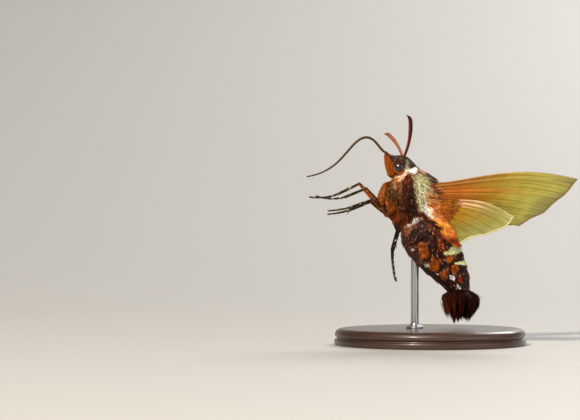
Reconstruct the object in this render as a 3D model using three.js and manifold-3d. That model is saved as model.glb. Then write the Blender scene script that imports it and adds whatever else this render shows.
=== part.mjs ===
// Nessus sphinx moth (Amphion floridensis), a small day-flying hawk moth that hovers like a hummingbird.
// Life size, in millimetres, +Z up. The moth hovers head up with its wings thrown back over its body, its
// proboscis and fore legs reaching forward, and a rod on a round base holds it under the belly.
// The body has a frame of its own: +X forward to the head, +Y to the moth's left, +Z to its back.

import * as THREE from "three";
import { mergeVertices } from "three/addons/utils/BufferGeometryUtils.js";
import Module from "manifold-3d";

const wasm = await Module();
wasm.setup();

// Driving dimensions: lengths in millimetres, angles in degrees

const GAP = 0.3; // between pieces that touch
const ROOM = 0.37; // that a piece is grown by to keep that gap, also where its surface slopes
const SNOUT_ROOM = 0.5; // the same round the steep front of the head
const BODY_PITCH = 62.2; // that the head is raised
const BODY_CENTRE = new THREE.Vector3(-1.4, 0, 21.2); // the thorax centre above the middle of the base
const BODY_SIDES = 24; // sides of a ring round the body

// Stations along the body: forward place, then back, belly and half width
const HEAD = [
  [9.15, -0.58, -0.98, 0.22],
  [8.75, -0.38, -0.98, 0.5],
  [8.4, 0.08, -1.0, 0.95],
  [8.0, 0.85, -1.05, 1.4],
  [7.4, 1.5, -1.15, 1.95],
  [6.5, 1.98, -1.5, 2.15],
  [5.25, 2.42, -2.1, 2.2],
];
const THORAX = [
  [4.95, 2.55, -3.0, 2.55],
  [4.3, 2.95, -4.15, 3.2],
  [3.2, 3.5, -4.95, 3.65],
  [1.6, 3.9, -5.3, 3.9],
  [0.2, 3.9, -5.2, 3.85],
  [-1.0, 3.65, -4.95, 3.65],
  [-1.9, 3.25, -4.65, 3.35],
];
const ABDOMEN = [
  [-2.2, 3.1, -4.7, 3.3],
  [-3.5, 3.05, -5.05, 3.65],
  [-5.1, 2.8, -5.15, 3.75],
  [-7.0, 2.45, -4.85, 3.6],
  [-9.0, 2.15, -4.2, 3.2],
  [-11.0, 1.8, -3.4, 2.65],
  [-12.7, 1.4, -2.7, 2.05],
  [-14.2, 0.75, -2.1, 1.4],
  [-14.7, 0.4, -1.8, 1.05],
];
const HEAD_RINGS = 10;
const THORAX_RINGS = 12;
const SEGMENTS = 7; // of the abdomen
const SEGMENT_STEP = 0.14; // that a segment's rear edge stands over the next segment
const SEGMENT_LIP = 0.88; // share of a segment where it stands highest

const EYE = { at: [6.5, 1.62, -0.38], radius: 0.95, long: 1.03 };

const PALP = { root: [5.75, 0.95, -1.85], tip: [9.3, 0.62, -1.18], deep: 0.62, wide: 0.6 };
const PALP_TAPER = [[0, 0.6], [0.12, 0.9], [0.35, 1.0], [0.6, 0.94], [0.82, 0.66], [0.95, 0.38], [1, 0.2]];

const ANTENNA = { root: [7.45, 0.8, 0.9], length: 8.8, steps: 12, sides: 8 };
const ANTENNA_RADII = [[0, 0.24], [0.35, 0.29], [0.7, 0.38], [0.88, 0.3], [1, 0.12]];
const ANTENNA_HOOK = { from: 0.84, turn: 58 };
const ANTENNA_POSES = {
  left: { side: 1, rise: 52, fall: 36, splay: 40 },
  right: { side: -1, rise: 20, fall: 42, splay: 55 },
};

const PROBOSCIS = { root: [9.56, 0, -0.94], length: 15.0, radius: 0.26, sides: 8, steps: 11 };
const PROBOSCIS_TAPER = [[0, 1], [0.8, 0.95], [1, 0.5]];
const PROBOSCIS_NAMES = ["base", "middle", "tip"];
// Share of its length, and how far it points down from forward
const PROBOSCIS_PITCH = [
  [0, 43], [0.1, 10], [0.18, 24], [0.27, 68], [0.36, 102], [0.48, 111], [0.62, 108], [0.78, 92], [1, 70],
];

const MEMBRANE = 0.5; // thickness of a wing
const EDGE_THICKNESS = 0.3;
const VEIN_RISE = 0.13; // of a vein over the membrane, at the root and on each face
const VEIN_FADE = 0.7; // share of that rise lost at the margin
const VEIN_FLANK = 0.28; // of the way to the next vein
// A wing's place is along its span, then across it to the rear. Dihedral leans it out from straight up
// over the back, sweep leans its span to the tail.
const WINGS = {
  wing_fore: {
    root: [2.7, 2.3, 1.2], dihedral: 22, sweep: 23.5, span: 24.4, costaBow: 1.32, rootChord: 2.3,
    tornus: [14.7, 6.8], hindBow: -0.55, camber: 0.5, lift: 1.3, veins: 9, stations: 10,
    margin: [[0, 0], [0.1, 0.25], [0.25, 0.6], [0.45, 0.55], [0.62, 0.72], [0.82, 0.2], [1, 0]],
  },
  wing_hind: {
    root: [0.55, 3.3, 0.8], dihedral: 28, sweep: 35, span: 14.1, costaBow: 1.25, rootChord: 1.9,
    tornus: [5.6, 6.3], hindBow: -0.5, camber: 0.4, lift: 0.5, veins: 7, stations: 9,
    margin: [[0, 0], [0.1, 0.55], [0.22, 0.8], [0.36, 0.55], [0.5, 0.45], [0.65, -0.05], [0.82, -0.25], [1, 0]],
  },
};

// A leg's limbs: length, pitch down from forward, splay outwards. A tarsus bends from one pitch to another.
const LEG_RADII = { coxa: [0.75, 0.52], femur: [0.45, 0.36], tibia: [0.3, 0.35], tarsus: [0.26, 0.25] };
const LEG_SIDES = 6;
const TARSUS_JOINTS = 5;
const SPUR = { length: 1.0, radius: 0.25, pitch: 28, spacing: 0.4, sides: 4 };
const LEGS = {
  leg_fore_left: {
    side: 1, root: [4.9, 1.2, -3.5], coxa: [3.0, 142, -2], femur: [3.65, 14.5, 8],
    tibia: [3.4, 84, 6], tarsus: [4.6, 78, 42, 2], spurs: 0,
  },
  leg_fore_right: {
    side: -1, root: [4.9, 1.2, -3.5], coxa: [3.0, 136, -2], femur: [4.6, 14, 10],
    tibia: [3.6, 88, 8], tarsus: [4.6, 84, 52, 4], spurs: 0,
  },
  leg_mid_left: {
    side: 1, root: [1.5, 2.2, -3.9], coxa: [1.3, 104, 2], femur: [3.5, 20, 26],
    tibia: [3.4, 82, 4], tarsus: [3.6, 76, 66, 0], spurs: 1,
  },
  leg_mid_right: {
    side: -1, root: [1.5, 2.2, -3.9], coxa: [1.3, 104, 2], femur: [3.4, 24, 30],
    tibia: [3.4, 84, 8], tarsus: [3.6, 80, 66, 4], spurs: 1,
  },
  leg_hind_left: {
    side: 1, root: [0.05, 2.4, -3.2], coxa: [1.5, 110, 10], femur: [1.4, 172, 16],
    tibia: [3.3, 135, 4], tarsus: [4.7, 150, 168, 0], spurs: 2,
  },
  leg_hind_right: {
    side: -1, root: [0.05, 2.4, -3.2], coxa: [1.5, 110, 10], femur: [1.4, 170, 18],
    tibia: [3.3, 138, 8], tarsus: [4.7, 152, 166, 4], spurs: 2,
  },
};

const TUFT = {
  root: [-14.7, 0, -0.92],
  drop: 27.8, // that it hangs below the line of the body
  rings: [5, 10, 15], // locks in each, from the middle out
  length: [4.6, 3.8], // of a middle lock and of an outermost one
  flare: [3.2, 2.85], // half width to the sides, and to back and belly
  core: 0.32, // share of the flare where the middle locks hang
  lock: { width: 1.3, thick: 0.5, sides: 4 },
  jitter: { turn: 0.3, length: 0.1, seed: 7 },
};
const LOCK_SPREAD = [[0, 0.38], [0.14, 0.62], [0.3, 0.94], [0.5, 1.0], [0.75, 0.93], [1, 0.82]];
const LOCK_TAPER = [[0, 0.7], [0.3, 1.0], [0.6, 1.0], [0.82, 0.68], [1, 0.14]];
const LOCK_STATIONS = 5;
// The solid stump under the locks; a ring is a place along the tuft and a share of the radius
const STUMP = { radius: [1.0, 0.85], sides: 12, rings: [[-0.9, 0.7], [-0.3, 1], [0.7, 1.15], [1.4, 0.6]] };

const BASE = { radius: 14.5, height: 2.5, bevel: 0.5, sides: 48 };
const ROD = { radius: 0.6, x: -2.3, top: 17.2, sides: 16 };

// Materials

const finish = (color, roughness, metalness = 0) =>
  new THREE.MeshStandardMaterial({ color, roughness, metalness });
const DARK_FUR = finish(0x4a2413, 0.85);
const RUST_FUR = finish(0x9c4a1a, 0.85);
const BAND_FUR = finish(0x3a1d12, 0.8);
const TUFT_FUR = finish(0x38130a, 0.85);
const WING_SCALES = finish(0xa8642a, 0.7);
const HORN = finish(0x5a2a16, 0.5);
const EYE_GLOSS = finish(0x2a0c06, 0.15);
const LEG_SCALES = finish(0x4d3322, 0.7);
const BASE_WOOD = finish(0x241a15, 0.35);
const ROD_STEEL = finish(0x9a9a98, 0.3, 1);

// Curves, points and solids

const { degToRad: radians, lerp, clamp } = THREE.MathUtils;
const FULL_TURN = 2 * Math.PI;
const range = (count, make) => Array.from({ length: count }, (_, i) => make(i));
const spaced = (from, to, count) => range(count, (i) => lerp(from, to, i / (count - 1)));
const onSide = ([x, y, z], side) => new THREE.Vector3(x, side * y, z);

// The smooth curve through a table's rows; a row is a place and then its values.
function curveAt(table, place) {
  const last = table.length - 1;
  const heading = Math.sign(table[last][0] - table[0][0]);
  const next = table.findIndex((row, n) => n > 0 && (row[0] - place) * heading >= 0);
  const end = next < 0 ? last : next;
  const [a, b] = [table[end - 1], table[end]];
  const width = b[0] - a[0];
  const t = clamp((place - a[0]) / width, 0, 1);
  const slope = (n, k) => {
    const [before, after] = [table[Math.max(n - 1, 0)], table[Math.min(n + 1, last)]];
    return ((after[k] - before[k]) / (after[0] - before[0])) * width;
  };
  return range(a.length - 1, (n) => {
    const k = n + 1;
    const rise = b[k] - a[k];
    const [leave, arrive] = [slope(end - 1, k), slope(end, k)];
    return a[k] + t * (leave + t * (3 * rise - 2 * leave - arrive + t * (leave + arrive - 2 * rise)));
  });
}

// A direction that is pitched down from forward and splayed out to a side.
function direction(pitch, splay, side) {
  const [p, s] = [radians(pitch), radians(splay)];
  return new THREE.Vector3(Math.cos(p) * Math.cos(s), side * Math.sin(s), -Math.sin(p) * Math.cos(s));
}

// A closed geometry from points and triangles, turned to face outwards.
function closedGeometry(points, triangles) {
  const cross = new THREE.Vector3();
  let volume = 0;
  for (let i = 0; i < triangles.length; i += 3) {
    const [a, b, c] = triangles.slice(i, i + 3).map((n) => points[n]);
    volume += cross.crossVectors(b, c).dot(a);
  }
  const geometry = new THREE.BufferGeometry().setFromPoints(points);
  return geometry.setIndex(volume < 0 ? triangles.slice().reverse() : triangles);
}

// A skin over rings of points that all go the same way round, closed by a point at each end.
function skinOver(rings) {
  const around = rings[0].length;
  const points = rings.flat();
  const middle = (ring) => ring.reduce((sum, p) => sum.add(p), new THREE.Vector3()).divideScalar(around);
  points.push(middle(rings[0]), middle(rings.at(-1)));
  const [first, last] = [points.length - 2, points.length - 1];
  const end = (rings.length - 1) * around;
  const triangles = [];
  for (let j = 0; j < around; j++) {
    const k = (j + 1) % around;
    triangles.push(first, k, j, last, end + j, end + k);
    for (let a = 0; a < end; a += around) {
      const b = a + around;
      triangles.push(a + j, a + k, b + k, a + j, b + k, b + j);
    }
  }
  return closedGeometry(points, triangles);
}

// An ellipse of points round a centre, between two axes.
function ringRound(centre, across, up, wide, deep, sides) {
  return range(sides, (j) => {
    const turn = (j / sides) * FULL_TURN;
    return centre
      .clone()
      .addScaledVector(across, wide * Math.cos(turn))
      .addScaledVector(up, deep * Math.sin(turn));
  });
}

// A tube along points with a radius at each; flat is its depth as a share of its width.
function tube(points, radii, sides, flat = 1, face = new THREE.Vector3(0, 1, 0)) {
  const rings = points.map((p, i) => {
    const ahead = points[Math.min(i + 1, points.length - 1)];
    const behind = points[Math.max(i - 1, 0)];
    const along = ahead.clone().sub(behind).normalize();
    const across = new THREE.Vector3().crossVectors(along, face).normalize();
    const up = new THREE.Vector3().crossVectors(across, along);
    return ringRound(p, across, up, radii[i], radii[i] * flat, sides);
  });
  return skinOver(rings);
}

function solidOf(geometry) {
  const bare = geometry.clone();
  for (const name of ["normal", "uv"]) bare.deleteAttribute(name);
  const merged = mergeVertices(bare, 1e-4);
  return new wasm.Manifold(
    new wasm.Mesh({
      numProp: 3,
      vertProperties: merged.attributes.position.array,
      triVerts: new Uint32Array(merged.index.array),
    }),
  );
}

// The largest closed surface of a solid, as a geometry.
function geometryOf(solid) {
  const largest = solid.decompose().reduce((a, b) => (b.volume() > a.volume() ? b : a));
  const mesh = largest.getMesh();
  const geometry = new THREE.BufferGeometry();
  geometry.setAttribute("position", new THREE.BufferAttribute(new Float32Array(mesh.vertProperties), 3));
  return geometry.setIndex(new THREE.BufferAttribute(new Uint32Array(mesh.triVerts), 1));
}

const joined = (solids) => solids.reduce((a, b) => a.add(b));

// Head, thorax and abdomen: rings that grow by a margin all over to give the room they need

const WIDE_AXIS = new THREE.Vector3(0, 1, 0);
const DEEP_AXIS = new THREE.Vector3(0, 0, 1);

function bodySkin(table, places, grow, step = () => 0) {
  const rings = places.map((x, i) => {
    const [back, belly, half] = curveAt(table, x);
    const end = i === 0 ? grow : i === places.length - 1 ? -grow : 0;
    const centre = new THREE.Vector3(x + end, 0, (back + belly) / 2);
    const proud = grow + step(i);
    return ringRound(centre, WIDE_AXIS, DEEP_AXIS, half + proud, (back - belly) / 2 + proud, BODY_SIDES);
  });
  return skinOver(rings);
}

const placesAlong = (table, count) => spaced(table[0][0], table.at(-1)[0], count);
const headSkin = (grow = 0) => bodySkin(HEAD, placesAlong(HEAD, HEAD_RINGS), grow);
const thoraxSkin = (grow = 0) => bodySkin(THORAX, placesAlong(THORAX, THORAX_RINGS), grow);

// Each segment of the abdomen widens to a rear edge that stands over the next one
function abdomenSkin(grow = 0) {
  const starts = placesAlong(ABDOMEN, SEGMENTS + 1);
  const lip = SEGMENT_LIP * (starts[1] - starts[0]);
  const places = starts.slice(0, -1).flatMap((x) => [x, x + lip]);
  return bodySkin(ABDOMEN, [...places, starts.at(-1)], grow, (i) => (i % 2 ? SEGMENT_STEP : 0));
}

// Eyes, palps, antennae and proboscis

function eyeBall(side, grow = 0) {
  const ball = new THREE.SphereGeometry(EYE.radius + grow, 14, 10).scale(EYE.long, 1, EYE.long);
  return ball.translate(EYE.at[0], side * EYE.at[1], EYE.at[2]);
}

function palpSkin(side, grow = 0) {
  const [root, tip] = [onSide(PALP.root, side), onSide(PALP.tip, side)];
  const points = PALP_TAPER.map(([t]) => root.clone().lerp(tip, t));
  points[0].x -= grow;
  points.at(-1).x += grow;
  const radii = PALP_TAPER.map(([, taper]) => PALP.deep * taper + grow);
  return tube(points, radii, 12, PALP.wide / PALP.deep, WIDE_AXIS);
}

function antennaSkin({ side, rise, fall, splay }) {
  const { steps, length, sides } = ANTENNA;
  const point = onSide(ANTENNA.root, side);
  const points = [point.clone()];
  for (let i = 1; i <= steps; i++) {
    const hook = Math.max(0, i / steps - ANTENNA_HOOK.from) / (1 - ANTENNA_HOOK.from);
    const pitch = (fall * i) / steps - rise + hook * ANTENNA_HOOK.turn;
    point.addScaledVector(direction(pitch, splay, side), length / steps);
    points.push(point.clone());
  }
  return tube(points, points.map((_, i) => curveAt(ANTENNA_RADII, i / steps)[0]), sides);
}

// The proboscis leaves the snout forward, arches over and reaches down to its tip
function proboscisSkins() {
  const { root, length, radius, sides, steps } = PROBOSCIS;
  const count = PROBOSCIS_NAMES.length;
  const point = onSide(root, 1);
  const line = [point.clone()];
  for (let i = 0; i < steps * count; i++) {
    const [pitch] = curveAt(PROBOSCIS_PITCH, (i + 0.5) / (steps * count));
    line.push(point.addScaledVector(direction(pitch, 0, 1), length / (steps * count)).clone());
  }
  const curve = new THREE.CatmullRomCurve3(line);
  const cut = ROOM / length / 2;
  return PROBOSCIS_NAMES.map((_, part) => {
    const from = part / count + (part > 0 ? cut : 0);
    const to = (part + 1) / count - (part < count - 1 ? cut : 0);
    const shares = spaced(from, to, steps + 1);
    const radii = shares.map((t) => radius * curveAt(PROBOSCIS_TAPER, t)[0]);
    return tube(shares.map((t) => curve.getPointAt(t)), radii, sides);
  });
}

// Wings: a patch between the leading edge, the outer margin and the hind edge, with veins as ridges

// A place on the wing's outline grid: r runs from root to margin, t from the leading edge to the rear.
function wingPlace(wing, r, t) {
  const [tip, corner] = [[wing.span, 0], wing.tornus];
  const reach = Math.hypot(corner[0] - tip[0], corner[1] - tip[1]);
  const costa = [wing.span * r, -wing.costaBow * Math.sin(Math.PI * r ** 1.5)];
  const hind = [corner[0] * r, lerp(wing.rootChord, corner[1], r) - wing.hindBow * Math.sin(Math.PI * r)];
  const [bulge] = curveAt(wing.margin, t);
  const margin = [
    lerp(tip[0], corner[0], t) + (bulge * (corner[1] - tip[1])) / reach,
    lerp(tip[1], corner[1], t) - (bulge * (corner[0] - tip[0])) / reach,
  ];
  const root = [0, wing.rootChord * t];
  return [0, 1].map((k) => {
    const between = lerp(costa[k], hind[k], t) + lerp(root[k], margin[k], r);
    return between - lerp(lerp(0, k * wing.rootChord, t), lerp(tip[k], corner[k], t), r);
  });
}

function wingFaces(wing, side) {
  const [tilt, lean] = [radians(wing.dihedral), radians(wing.sweep)];
  const upward = new THREE.Vector3(0, side * Math.sin(tilt), Math.cos(tilt));
  const forward = new THREE.Vector3(1, 0, 0);
  const outward = new THREE.Vector3(0, side * Math.cos(tilt), -Math.sin(tilt));
  const along = upward.clone().multiplyScalar(Math.cos(lean)).addScaledVector(forward, -Math.sin(lean));
  const across = upward.clone().multiplyScalar(-Math.sin(lean)).addScaledVector(forward, -Math.cos(lean));
  const point = (r, t, height) => {
    const [u, v] = wingPlace(wing, r, t);
    const arch = wing.camber * Math.sin(Math.PI * t) * Math.sin(Math.PI * r);
    const bend = wing.lift * (u / wing.span) ** 2 + arch;
    return onSide(wing.root, side)
      .addScaledVector(along, u)
      .addScaledVector(across, v)
      .addScaledVector(outward, bend + height);
  };
  const step = 1 / (wing.veins - 1);
  const rows = range(wing.veins, (vein) => [
    [(vein - VEIN_FLANK) * step, 0],
    [vein * step, 1],
    [(vein + VEIN_FLANK) * step, 0],
  ]).flat().slice(1, -1);
  const places = spaced(0, 1, wing.stations);
  return [1, -1].map((face) =>
    places.map((r) =>
      rows.map(([t, vein], j) => {
        const rim = r === 1 || j === 0 || j === rows.length - 1;
        const ridge = vein * VEIN_RISE * (1 - VEIN_FADE * r);
        return point(r, t, face * ((rim ? EDGE_THICKNESS : MEMBRANE) / 2 + ridge));
      }),
    ),
  );
}

// Both faces are split alike, and a rim of quads joins them all the way round.
function wingSkin(wing, side) {
  const faces = wingFaces(wing, side);
  const [stations, wide] = [faces[0].length, faces[0][0].length];
  const back = stations * wide;
  const triangles = [];
  for (let i = 0; i < stations - 1; i++) {
    for (let j = 0; j < wide - 1; j++) {
      const a = i * wide + j;
      const [b, c, d] = [a + 1, a + wide + 1, a + wide];
      triangles.push(a, b, c, a, c, d, back + a, back + c, back + b, back + a, back + d, back + c);
    }
  }
  const last = (stations - 1) * wide;
  const rim = [
    ...range(wide - 1, (j) => j),
    ...range(stations - 1, (i) => i * wide + wide - 1),
    ...range(wide - 1, (j) => last + wide - 1 - j),
    ...range(stations - 1, (i) => last - i * wide),
  ];
  rim.forEach((a, n) => {
    const b = rim[(n + 1) % rim.length];
    triangles.push(b, a, back + a, b, back + a, back + b);
  });
  return closedGeometry(faces.flat(2), triangles);
}

// Legs

// A limb with round ends that swells a little along its length.
function limbSkin(from, to, [thick, thin]) {
  const length = from.distanceTo(to);
  const along = to.clone().sub(from).normalize();
  const marks = [
    [-0.8 * thick, 0.5 * thick],
    [-0.3 * thick, 0.95 * thick],
    [0.5 * length, 0.54 * (thick + thin)],
    [length + 0.3 * thin, 0.95 * thin],
    [length + 0.8 * thin, 0.5 * thin],
  ];
  const points = marks.map(([place]) => from.clone().addScaledVector(along, place));
  return tube(points, marks.map(([, radius]) => radius), LEG_SIDES);
}

function spurSkin(start, pitch, splay, side) {
  const out = direction(pitch + SPUR.pitch, splay, side);
  const points = [0, 0.8, 1].map((t) => start.clone().addScaledVector(out, SPUR.length * t));
  return tube(points, [1, 0.7, 0.35].map((k) => SPUR.radius * k), SPUR.sides);
}

// The tarsus narrows a little between its joints and ends in a blunt point.
function tarsusSkin(start, [length, from, to, splay], side) {
  const steps = TARSUS_JOINTS * 2;
  const [thick, thin] = LEG_RADII.tarsus;
  const point = start.clone();
  const points = [start.clone()];
  const radii = [thick];
  for (let i = 1; i <= steps; i++) {
    const t = i / steps;
    point.addScaledVector(direction(lerp(from, to, t), splay, side), length / steps);
    points.push(point.clone());
    radii.push(lerp(thick, thin, t) * (i % 2 ? 0.94 : 1.1));
  }
  radii[steps] = thin / 2;
  return tube(points, radii, LEG_SIDES);
}

function legSolid({ side, root, spurs, tarsus, ...limbs }) {
  const skins = [];
  let start = onSide(root, side);
  for (const name of ["coxa", "femur", "tibia"]) {
    const [length, pitch, splay] = limbs[name];
    const end = start.clone().addScaledVector(direction(pitch, splay, side), length);
    skins.push(limbSkin(start, end, LEG_RADII[name]));
    if (name === "tibia") {
      const spurRoots = range(spurs, (i) => end.clone().lerp(start, SPUR.spacing * i));
      skins.push(...spurRoots.map((at) => spurSkin(at, pitch, splay, side)));
    }
    start = end;
  }
  skins.push(tarsusSkin(start, tarsus, side));
  return joined(skins.map(solidOf));
}

// Tail tuft: flat tapered locks in rings that flare from the tip of the abdomen and close in again

function seeded(seed) {
  let state = seed;
  return () => {
    state = (state * 1664525 + 1013904223) % 2 ** 32;
    return state / 2 ** 32;
  };
}

function tuftSolid() {
  const random = seeded(TUFT.jitter.seed);
  const drop = radians(TUFT.drop);
  const axis = new THREE.Vector3(-Math.cos(drop), 0, -Math.sin(drop));
  const up = new THREE.Vector3(-Math.sin(drop), 0, Math.cos(drop));
  const centre = (far) => onSide(TUFT.root, 1).addScaledVector(axis, far);
  const outward = (turn, wide, deep) =>
    new THREE.Vector3(0, wide * Math.cos(turn), 0).addScaledVector(up, deep * Math.sin(turn));
  const stump = STUMP.rings.map(([far, k]) =>
    ringRound(centre(far), WIDE_AXIS, up, ...STUMP.radius.map((r) => r * k), STUMP.sides),
  );
  const { width, thick, sides } = TUFT.lock;
  const locks = TUFT.rings.flatMap((count, ring) => {
    const out = ring / (TUFT.rings.length - 1);
    return range(count, (i) => {
      const turn = ((i + TUFT.jitter.turn * random()) / count) * FULL_TURN;
      const length = lerp(...TUFT.length, out * out) * (1 - TUFT.jitter.length * random());
      const shares = spaced(0, 1, LOCK_STATIONS);
      const points = shares.map((t) => {
        const spread = lerp(TUFT.core, 1, out) * curveAt(LOCK_SPREAD, t)[0];
        return centre(length * t).add(outward(turn, spread * TUFT.flare[0], spread * TUFT.flare[1]));
      });
      const radii = shares.map((t) => (width / 2) * curveAt(LOCK_TAPER, t)[0]);
      return tube(points, radii, sides, thick / width, outward(turn, 1, 1));
    });
  });
  return joined([skinOver(stump), ...locks].map(solidOf));
}

// Assembly

const part = new THREE.Group();
const body = new THREE.Group();
const bodyTurn = radians(BODY_PITCH);
body.matrixAutoUpdate = false;
body.matrix
  .makeBasis(
    new THREE.Vector3(-Math.cos(bodyTurn), 0, Math.sin(bodyTurn)),
    new THREE.Vector3(0, -1, 0),
    new THREE.Vector3(Math.sin(bodyTurn), 0, Math.cos(bodyTurn)),
  )
  .setPosition(BODY_CENTRE);
part.add(body);

function addMesh(group, name, geometry, material) {
  const mesh = new THREE.Mesh(geometry, material);
  mesh.name = name;
  mesh.geometry.computeVertexNormals();
  group.add(mesh);
}

const SIDES = { left: 1, right: -1 };
const headRoom = solidOf(headSkin(SNOUT_ROOM));
const trunkRoom = solidOf(thoraxSkin(ROOM)).add(solidOf(abdomenSkin(ROOM)));

let head = solidOf(headSkin());
for (const [name, side] of Object.entries(SIDES)) {
  const eyeRoom = solidOf(eyeBall(side, ROOM));
  head = head.subtract(eyeRoom).subtract(solidOf(palpSkin(side, ROOM)));
  const palp = solidOf(palpSkin(side)).subtract(trunkRoom).subtract(eyeRoom);
  const antenna = solidOf(antennaSkin(ANTENNA_POSES[name])).subtract(headRoom);
  addMesh(body, `eye_${name}`, eyeBall(side), EYE_GLOSS);
  addMesh(body, `palp_${name}`, geometryOf(palp), RUST_FUR);
  addMesh(body, `antenna_${name}`, geometryOf(antenna), HORN);
}
addMesh(body, "head", geometryOf(head), DARK_FUR);
proboscisSkins().forEach((skin, i) => addMesh(body, `proboscis_${PROBOSCIS_NAMES[i]}`, skin, HORN));
addMesh(body, "thorax", thoraxSkin(), DARK_FUR);
addMesh(body, "abdomen", abdomenSkin(), BAND_FUR);
addMesh(body, "tail_tuft", geometryOf(tuftSolid().subtract(trunkRoom)), TUFT_FUR);

for (const [name, wing] of Object.entries(WINGS)) {
  for (const [end, side] of Object.entries(SIDES)) {
    const solid = solidOf(wingSkin(wing, side)).subtract(trunkRoom);
    addMesh(body, `${name}_${end}`, geometryOf(solid), WING_SCALES);
  }
}

for (const [name, leg] of Object.entries(LEGS)) {
  addMesh(body, name, geometryOf(legSolid(leg).subtract(trunkRoom)), LEG_SCALES);
}

// Stand: a turned base, and a rod cut to the belly

const baseProfile = [
  [0, 0],
  [BASE.radius, 0],
  [BASE.radius, BASE.height - BASE.bevel],
  [BASE.radius - BASE.bevel, BASE.height],
  [0, BASE.height],
].map(([r, z]) => new THREE.Vector2(r, z));
addMesh(part, "stand_base", new THREE.LatheGeometry(baseProfile, BASE.sides).rotateX(Math.PI / 2), BASE_WOOD);

const rodFoot = BASE.height + GAP;
const rod = new THREE.CylinderGeometry(ROD.radius, ROD.radius, ROD.top - rodFoot, ROD.sides);
rod.rotateX(Math.PI / 2).translate(ROD.x, 0, (ROD.top + rodFoot) / 2);
const bellyRoom = solidOf(abdomenSkin(ROOM).applyMatrix4(body.matrix));
addMesh(part, "stand_rod", geometryOf(solidOf(rod).subtract(bellyRoom)), ROD_STEEL);

export default part;
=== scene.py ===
"""Looks of a Nessus sphinx moth that hovers over a plain display stand.

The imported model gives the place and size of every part, and this script dresses it: a furred skin over
head, thorax and abdomen, scaled wings, glossy eyes, jointed legs, a tail tuft and a turned wooden base.
The moth's own sizes are in millimetres in the frame of its body: x forward to the head, y to the moth's
left, z to its back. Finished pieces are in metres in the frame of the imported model.
"""

from __future__ import annotations

import logging
import math
from dataclasses import dataclass, field
from enum import Enum
from functools import partial
from typing import Callable, Sequence

import bpy
import numpy as np
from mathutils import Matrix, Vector


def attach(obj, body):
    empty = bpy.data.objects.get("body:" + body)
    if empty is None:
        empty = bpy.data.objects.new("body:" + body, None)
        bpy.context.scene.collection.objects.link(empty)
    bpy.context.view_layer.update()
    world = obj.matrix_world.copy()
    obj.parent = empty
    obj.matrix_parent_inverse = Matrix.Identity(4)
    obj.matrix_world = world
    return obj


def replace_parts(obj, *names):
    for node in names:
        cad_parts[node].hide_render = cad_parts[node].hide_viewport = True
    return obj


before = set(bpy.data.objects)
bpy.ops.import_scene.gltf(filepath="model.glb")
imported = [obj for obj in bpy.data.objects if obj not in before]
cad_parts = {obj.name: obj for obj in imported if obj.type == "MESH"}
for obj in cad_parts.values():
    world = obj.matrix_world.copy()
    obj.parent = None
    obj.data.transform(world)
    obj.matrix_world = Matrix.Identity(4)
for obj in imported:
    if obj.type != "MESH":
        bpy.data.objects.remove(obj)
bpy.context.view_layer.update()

Array = np.ndarray
Pair = tuple[float, float]
Triple = tuple[float, float, float]
Table = tuple[Pair, ...]
LOG = logging.getLogger("moth")

BODY = "root"
MM = 0.001
FULL_TURN = 2 * math.pi
GOLDEN_TURN = math.pi * (3 - math.sqrt(5))
# Steps round a unit square that fill it evenly, however many there are.
EVEN_STEPS = (0.7548776662466927, 0.5698402909980532)
TINT = "Coat"
BAKE_MAP = "OFBake"
# The share of the baked maps that one hair takes up beside its root.
BAKE_PATCH = 0.003


def linear(code: str) -> Triple:
    """A colour written as six hex digits, as red, green and blue from 0 to 1 in linear light."""
    channels = (int(code[i:i + 2], 16) / 255 for i in (0, 2, 4))
    return tuple(c / 12.92 if c <= 0.04045 else ((c + 0.055) / 1.055) ** 2.4 for c in channels)


def smoothstep(low: float, high: float, value: Array) -> Array:
    """Rises smoothly from 0 at low to 1 at high."""
    t = np.clip((value - low) / (high - low), 0, 1)
    return t * t * (3 - 2 * t)


def mix(a: Array, b: Sequence[float], share: Array) -> Array:
    """Rows of colour a, taken towards colour b by each row's share."""
    return a + (np.asarray(b) - a) * np.asarray(share)[:, None]


def unit(vectors: Array) -> Array:
    """Rows scaled to length one."""
    return vectors / np.maximum(np.linalg.norm(vectors, axis=-1, keepdims=True), 1e-12)


def mottle(places: Array, size: float, seed: int) -> Array:
    """A smooth uneven field over space, about 0 on average and within -1 and 1.

    Args:
        places: Points in millimetres.
        size: Rough width of one blotch in millimetres.
        seed: Picks the pattern.

    Returns:
        One value for each point.
    """
    waves, gain = 7, 1.6
    random = np.random.default_rng(seed)
    total = np.zeros(len(places))
    for _ in range(waves):
        way = unit(random.normal(size=3)) * FULL_TURN / size * random.uniform(0.5, 1.3)
        total += np.sin(places @ way + random.uniform(0, FULL_TURN))
    return total / waves * gain


def curve_at(table: Sequence[Sequence[float]], place: Array) -> Array:
    """The smooth curve through a table's rows; a row is a place and then its values.

    Args:
        table: Rows in order of place, rising or falling.
        place: Where to read the curve.

    Returns:
        One row of values for each place, without the place.
    """
    rows = np.asarray(table, float)
    if rows[0, 0] > rows[-1, 0]:
        rows = rows[::-1]
    at, values = rows[:, 0], rows[:, 1:]
    place = np.clip(np.atleast_1d(np.asarray(place, float)), at[0], at[-1])
    index = np.clip(np.searchsorted(at, place, side="right") - 1, 0, len(at) - 2)
    slopes = np.empty_like(values)
    slopes[1:-1] = (values[2:] - values[:-2]) / (at[2:] - at[:-2])[:, None]
    slopes[0] = (values[1] - values[0]) / (at[1] - at[0])
    slopes[-1] = (values[-1] - values[-2]) / (at[-1] - at[-2])
    width = (at[index + 1] - at[index])[:, None]
    t = (place[:, None] - at[index][:, None]) / width
    rise = values[index + 1] - values[index]
    leave, arrive = slopes[index] * width, slopes[index + 1] * width
    return values[index] + t * (leave + t * (3 * rise - 2 * leave - arrive + t * (leave + arrive - 2 * rise)))


def profile(table: Sequence[Sequence[float]], place: Array) -> Array:
    """One column of a smooth table."""
    return curve_at(table, place)[:, 0]


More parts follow.
